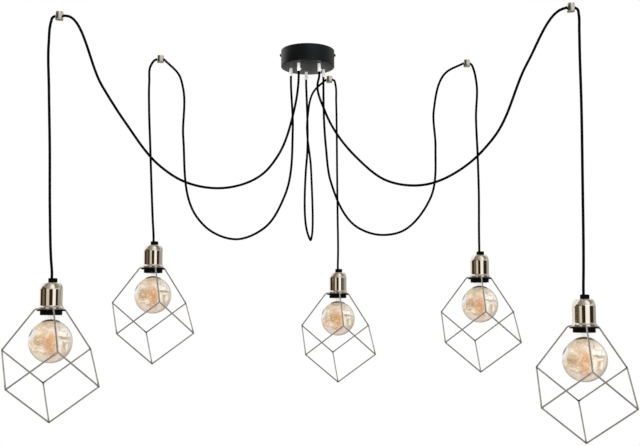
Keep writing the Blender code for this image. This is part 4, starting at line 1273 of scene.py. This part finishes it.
def strut_line(corner):
    """A strut's centre line: level from the plate, round a bend and straight down to a corner."""
    reach = math.hypot(corner[0], corner[1])
    outward = np.array([corner[0], corner[1], 0]) / reach
    first, lift, knee_reach, bend = 22.6 * MM, 0.6 * MM, 31.1 * MM, settings("cage").bend
    slope = math.atan2(-corner[2], reach - knee_reach)
    start = knee_reach - lift / math.tan(slope) - bend * math.tan(slope / 2)
    turn = np.linspace(0, slope, 9)
    bent = outward * (start + bend * np.sin(turn))[:, None]
    bent[:, 2] = lift - bend * (1 - np.cos(turn))
    return np.vstack([outward * first + (0, 0, lift), bent, np.linspace(bent[-1], corner, 9)[1:]])


class PENDANT_OT_bulbs(bpy.types.Operator):
    """Blows the five tinted globes and makes their screw caps, stems and filaments"""
    bl_idname = "pendant.bulbs"
    bl_label = "Bulbs"

    def execute(self, context):
        for number, turn in zip(PENDANTS, BULB_TURNS):
            place = seat(number)
            centre = place + (0, 0, GLOBE_LEVEL * MM)
            glass, cap = f"bulb_glass_{number}", f"bulb_cap_{number}"
            detail(glass, globe_mesh(place),
                   tinted_glass(f"globe_glass_{number}", centre, math.radians(turn)), glass,
                   "tinted_glass")
            detail(cap, cap_mesh(place), plated_cap(f"cap_plate_{number}", place), cap, "cap_metal")
            piece(f"bulb_stem_{number}", stem_mesh(place),
                  clear_glass(f"stem_glass_{number}", place), cap)
            piece(f"bulb_filament_{number}", filament_mesh(place),
                  phosphor(f"filament_coat_{number}", centre), cap)
        return {"FINISHED"}


def globe_mesh(place):
    """The glass: a globe that flows by a cubic into a short neck, closed inside the cap."""
    globe, neck, top = settings("bulb").globe / 2 / MM, 13.2, -7.1
    start = math.radians(28)
    turn = np.linspace(start, math.pi, 48)
    ball = np.column_stack([globe * np.sin(turn), GLOBE_LEVEL + globe * np.cos(turn)])
    flow = cubic(np.linspace(0, 1, 12)[:, None], np.array([neck + 1, -16.0]), ball[0],
                 np.array([0.2, -9.0]), 9 * np.array([math.cos(start), -math.sin(start)]))
    profile = np.vstack([[(0, top), (neck - 1, top), (neck, top - 0.6)], flow[:-1], ball]) * MM
    profile[-1, 0] = 0
    return turned("globe", profile, 96, place, sharp=None)


def cap_mesh(place):
    """The screw cap: a shell whose radius is a cosine of the height for its rounded thread, with a
    rim, a cone and a contact on its end."""
    top = CAP_FOOT + 27
    height = np.linspace(CAP_FOOT, CAP_FOOT + 20, 90)
    turns = (height - CAP_FOOT) / THREAD_PITCH
    thread = 12.75 - 0.65 * (0.5 - 0.5 * np.cos(2 * math.pi * turns))
    thread[:6] = 13.0
    thread[-6:] = np.linspace(thread[-7], 11.6, 6)
    profile = np.vstack([[(0, CAP_FOOT)], np.column_stack([thread, height]),
                         [(6.0, top - 2.2), (4.7, top - 2.0), (4.7, top - 0.5), (3.0, top),
                          (0, top)]]) * MM
    return turned("cap", profile, 60, place)


def stem_mesh(place):
    """The glass stem: a flared foot in the cap that narrows to a rod, and the support below it."""
    profile = eased(*((radius, CAP_FOOT - down, fillet) for radius, down, fillet in (
        (0, 0, 0), (9, 0, 0.5), (3.2, 10, 5), (3.0, 30, 0.8), (1.2, 32, 0.8), (1.2, 66, 0.4),
        (0, 67, 0))))
    return turned("stem", profile, 32, place)


def filament_mesh(place):
    """Four filament strands round the support, each a little tilted, held by two small hubs."""
    top, low, reach, tilt = CAP_FOOT - 31, CAP_FOOT - 66.5, 3.4, 16
    shapes = []
    for strand in np.radians([0, 90, 180, 270]):
        ends = [place + np.array([reach * math.cos(angle), reach * math.sin(angle), level]) * MM
                for angle, level in ((strand, top), (strand + math.radians(tilt), low))]
        shapes.append(tube("strand", np.linspace(*ends, 12), 0.6 * MM, 10))
    for level in (top, low):
        hub = eased((0, level - 0.7, 0), (4.6, level - 0.7, 0.4), (4.6, level + 0.7, 0.4),
                    (0, level + 0.7, 0))
        shapes.append(turned("hub", hub, 32, place))
    return joined("filament", shapes)


class PENDANT_PT_panel(bpy.types.Panel):
    """Lists the light's pieces and their sizes and colours"""
    bl_idname = "PENDANT_PT_panel"
    bl_label = "Cluster Pendant"
    bl_space_type = "VIEW_3D"
    bl_region_type = "UI"
    bl_category = "Pendant"

    def draw(self, context):
        for name, group in SETTINGS.items():
            box = self.layout.box()
            box.label(text=name.capitalize())
            for prop in group.__annotations__:
                box.prop(settings(name), prop)
        for step in STEPS:
            self.layout.operator(step.bl_idname)


STEPS = (PENDANT_OT_stage, PENDANT_OT_cords, PENDANT_OT_canopy, PENDANT_OT_grips,
         PENDANT_OT_holders, PENDANT_OT_cages, PENDANT_OT_bulbs)


def register():
    """Registers the settings, the operators and the panel."""
    for group in SETTINGS.values():
        bpy.utils.register_class(group)
    for name, group in SETTINGS.items():
        setattr(bpy.types.Scene, f"pendant_{name}", PointerProperty(type=group))
    for item in (*STEPS, PENDANT_PT_panel):
        bpy.utils.register_class(item)


def unregister():
    """Takes the panel, the operators and the settings away again."""
    for item in (PENDANT_PT_panel, *reversed(STEPS)):
        bpy.utils.unregister_class(item)
    for name, group in SETTINGS.items():
        delattr(bpy.types.Scene, f"pendant_{name}")
        bpy.utils.unregister_class(group)


def main():
    register()
    for step in STEPS:
        group, name = step.bl_idname.split(".")
        getattr(getattr(bpy.ops, group), name)()


if __name__ == "__main__":
    main()
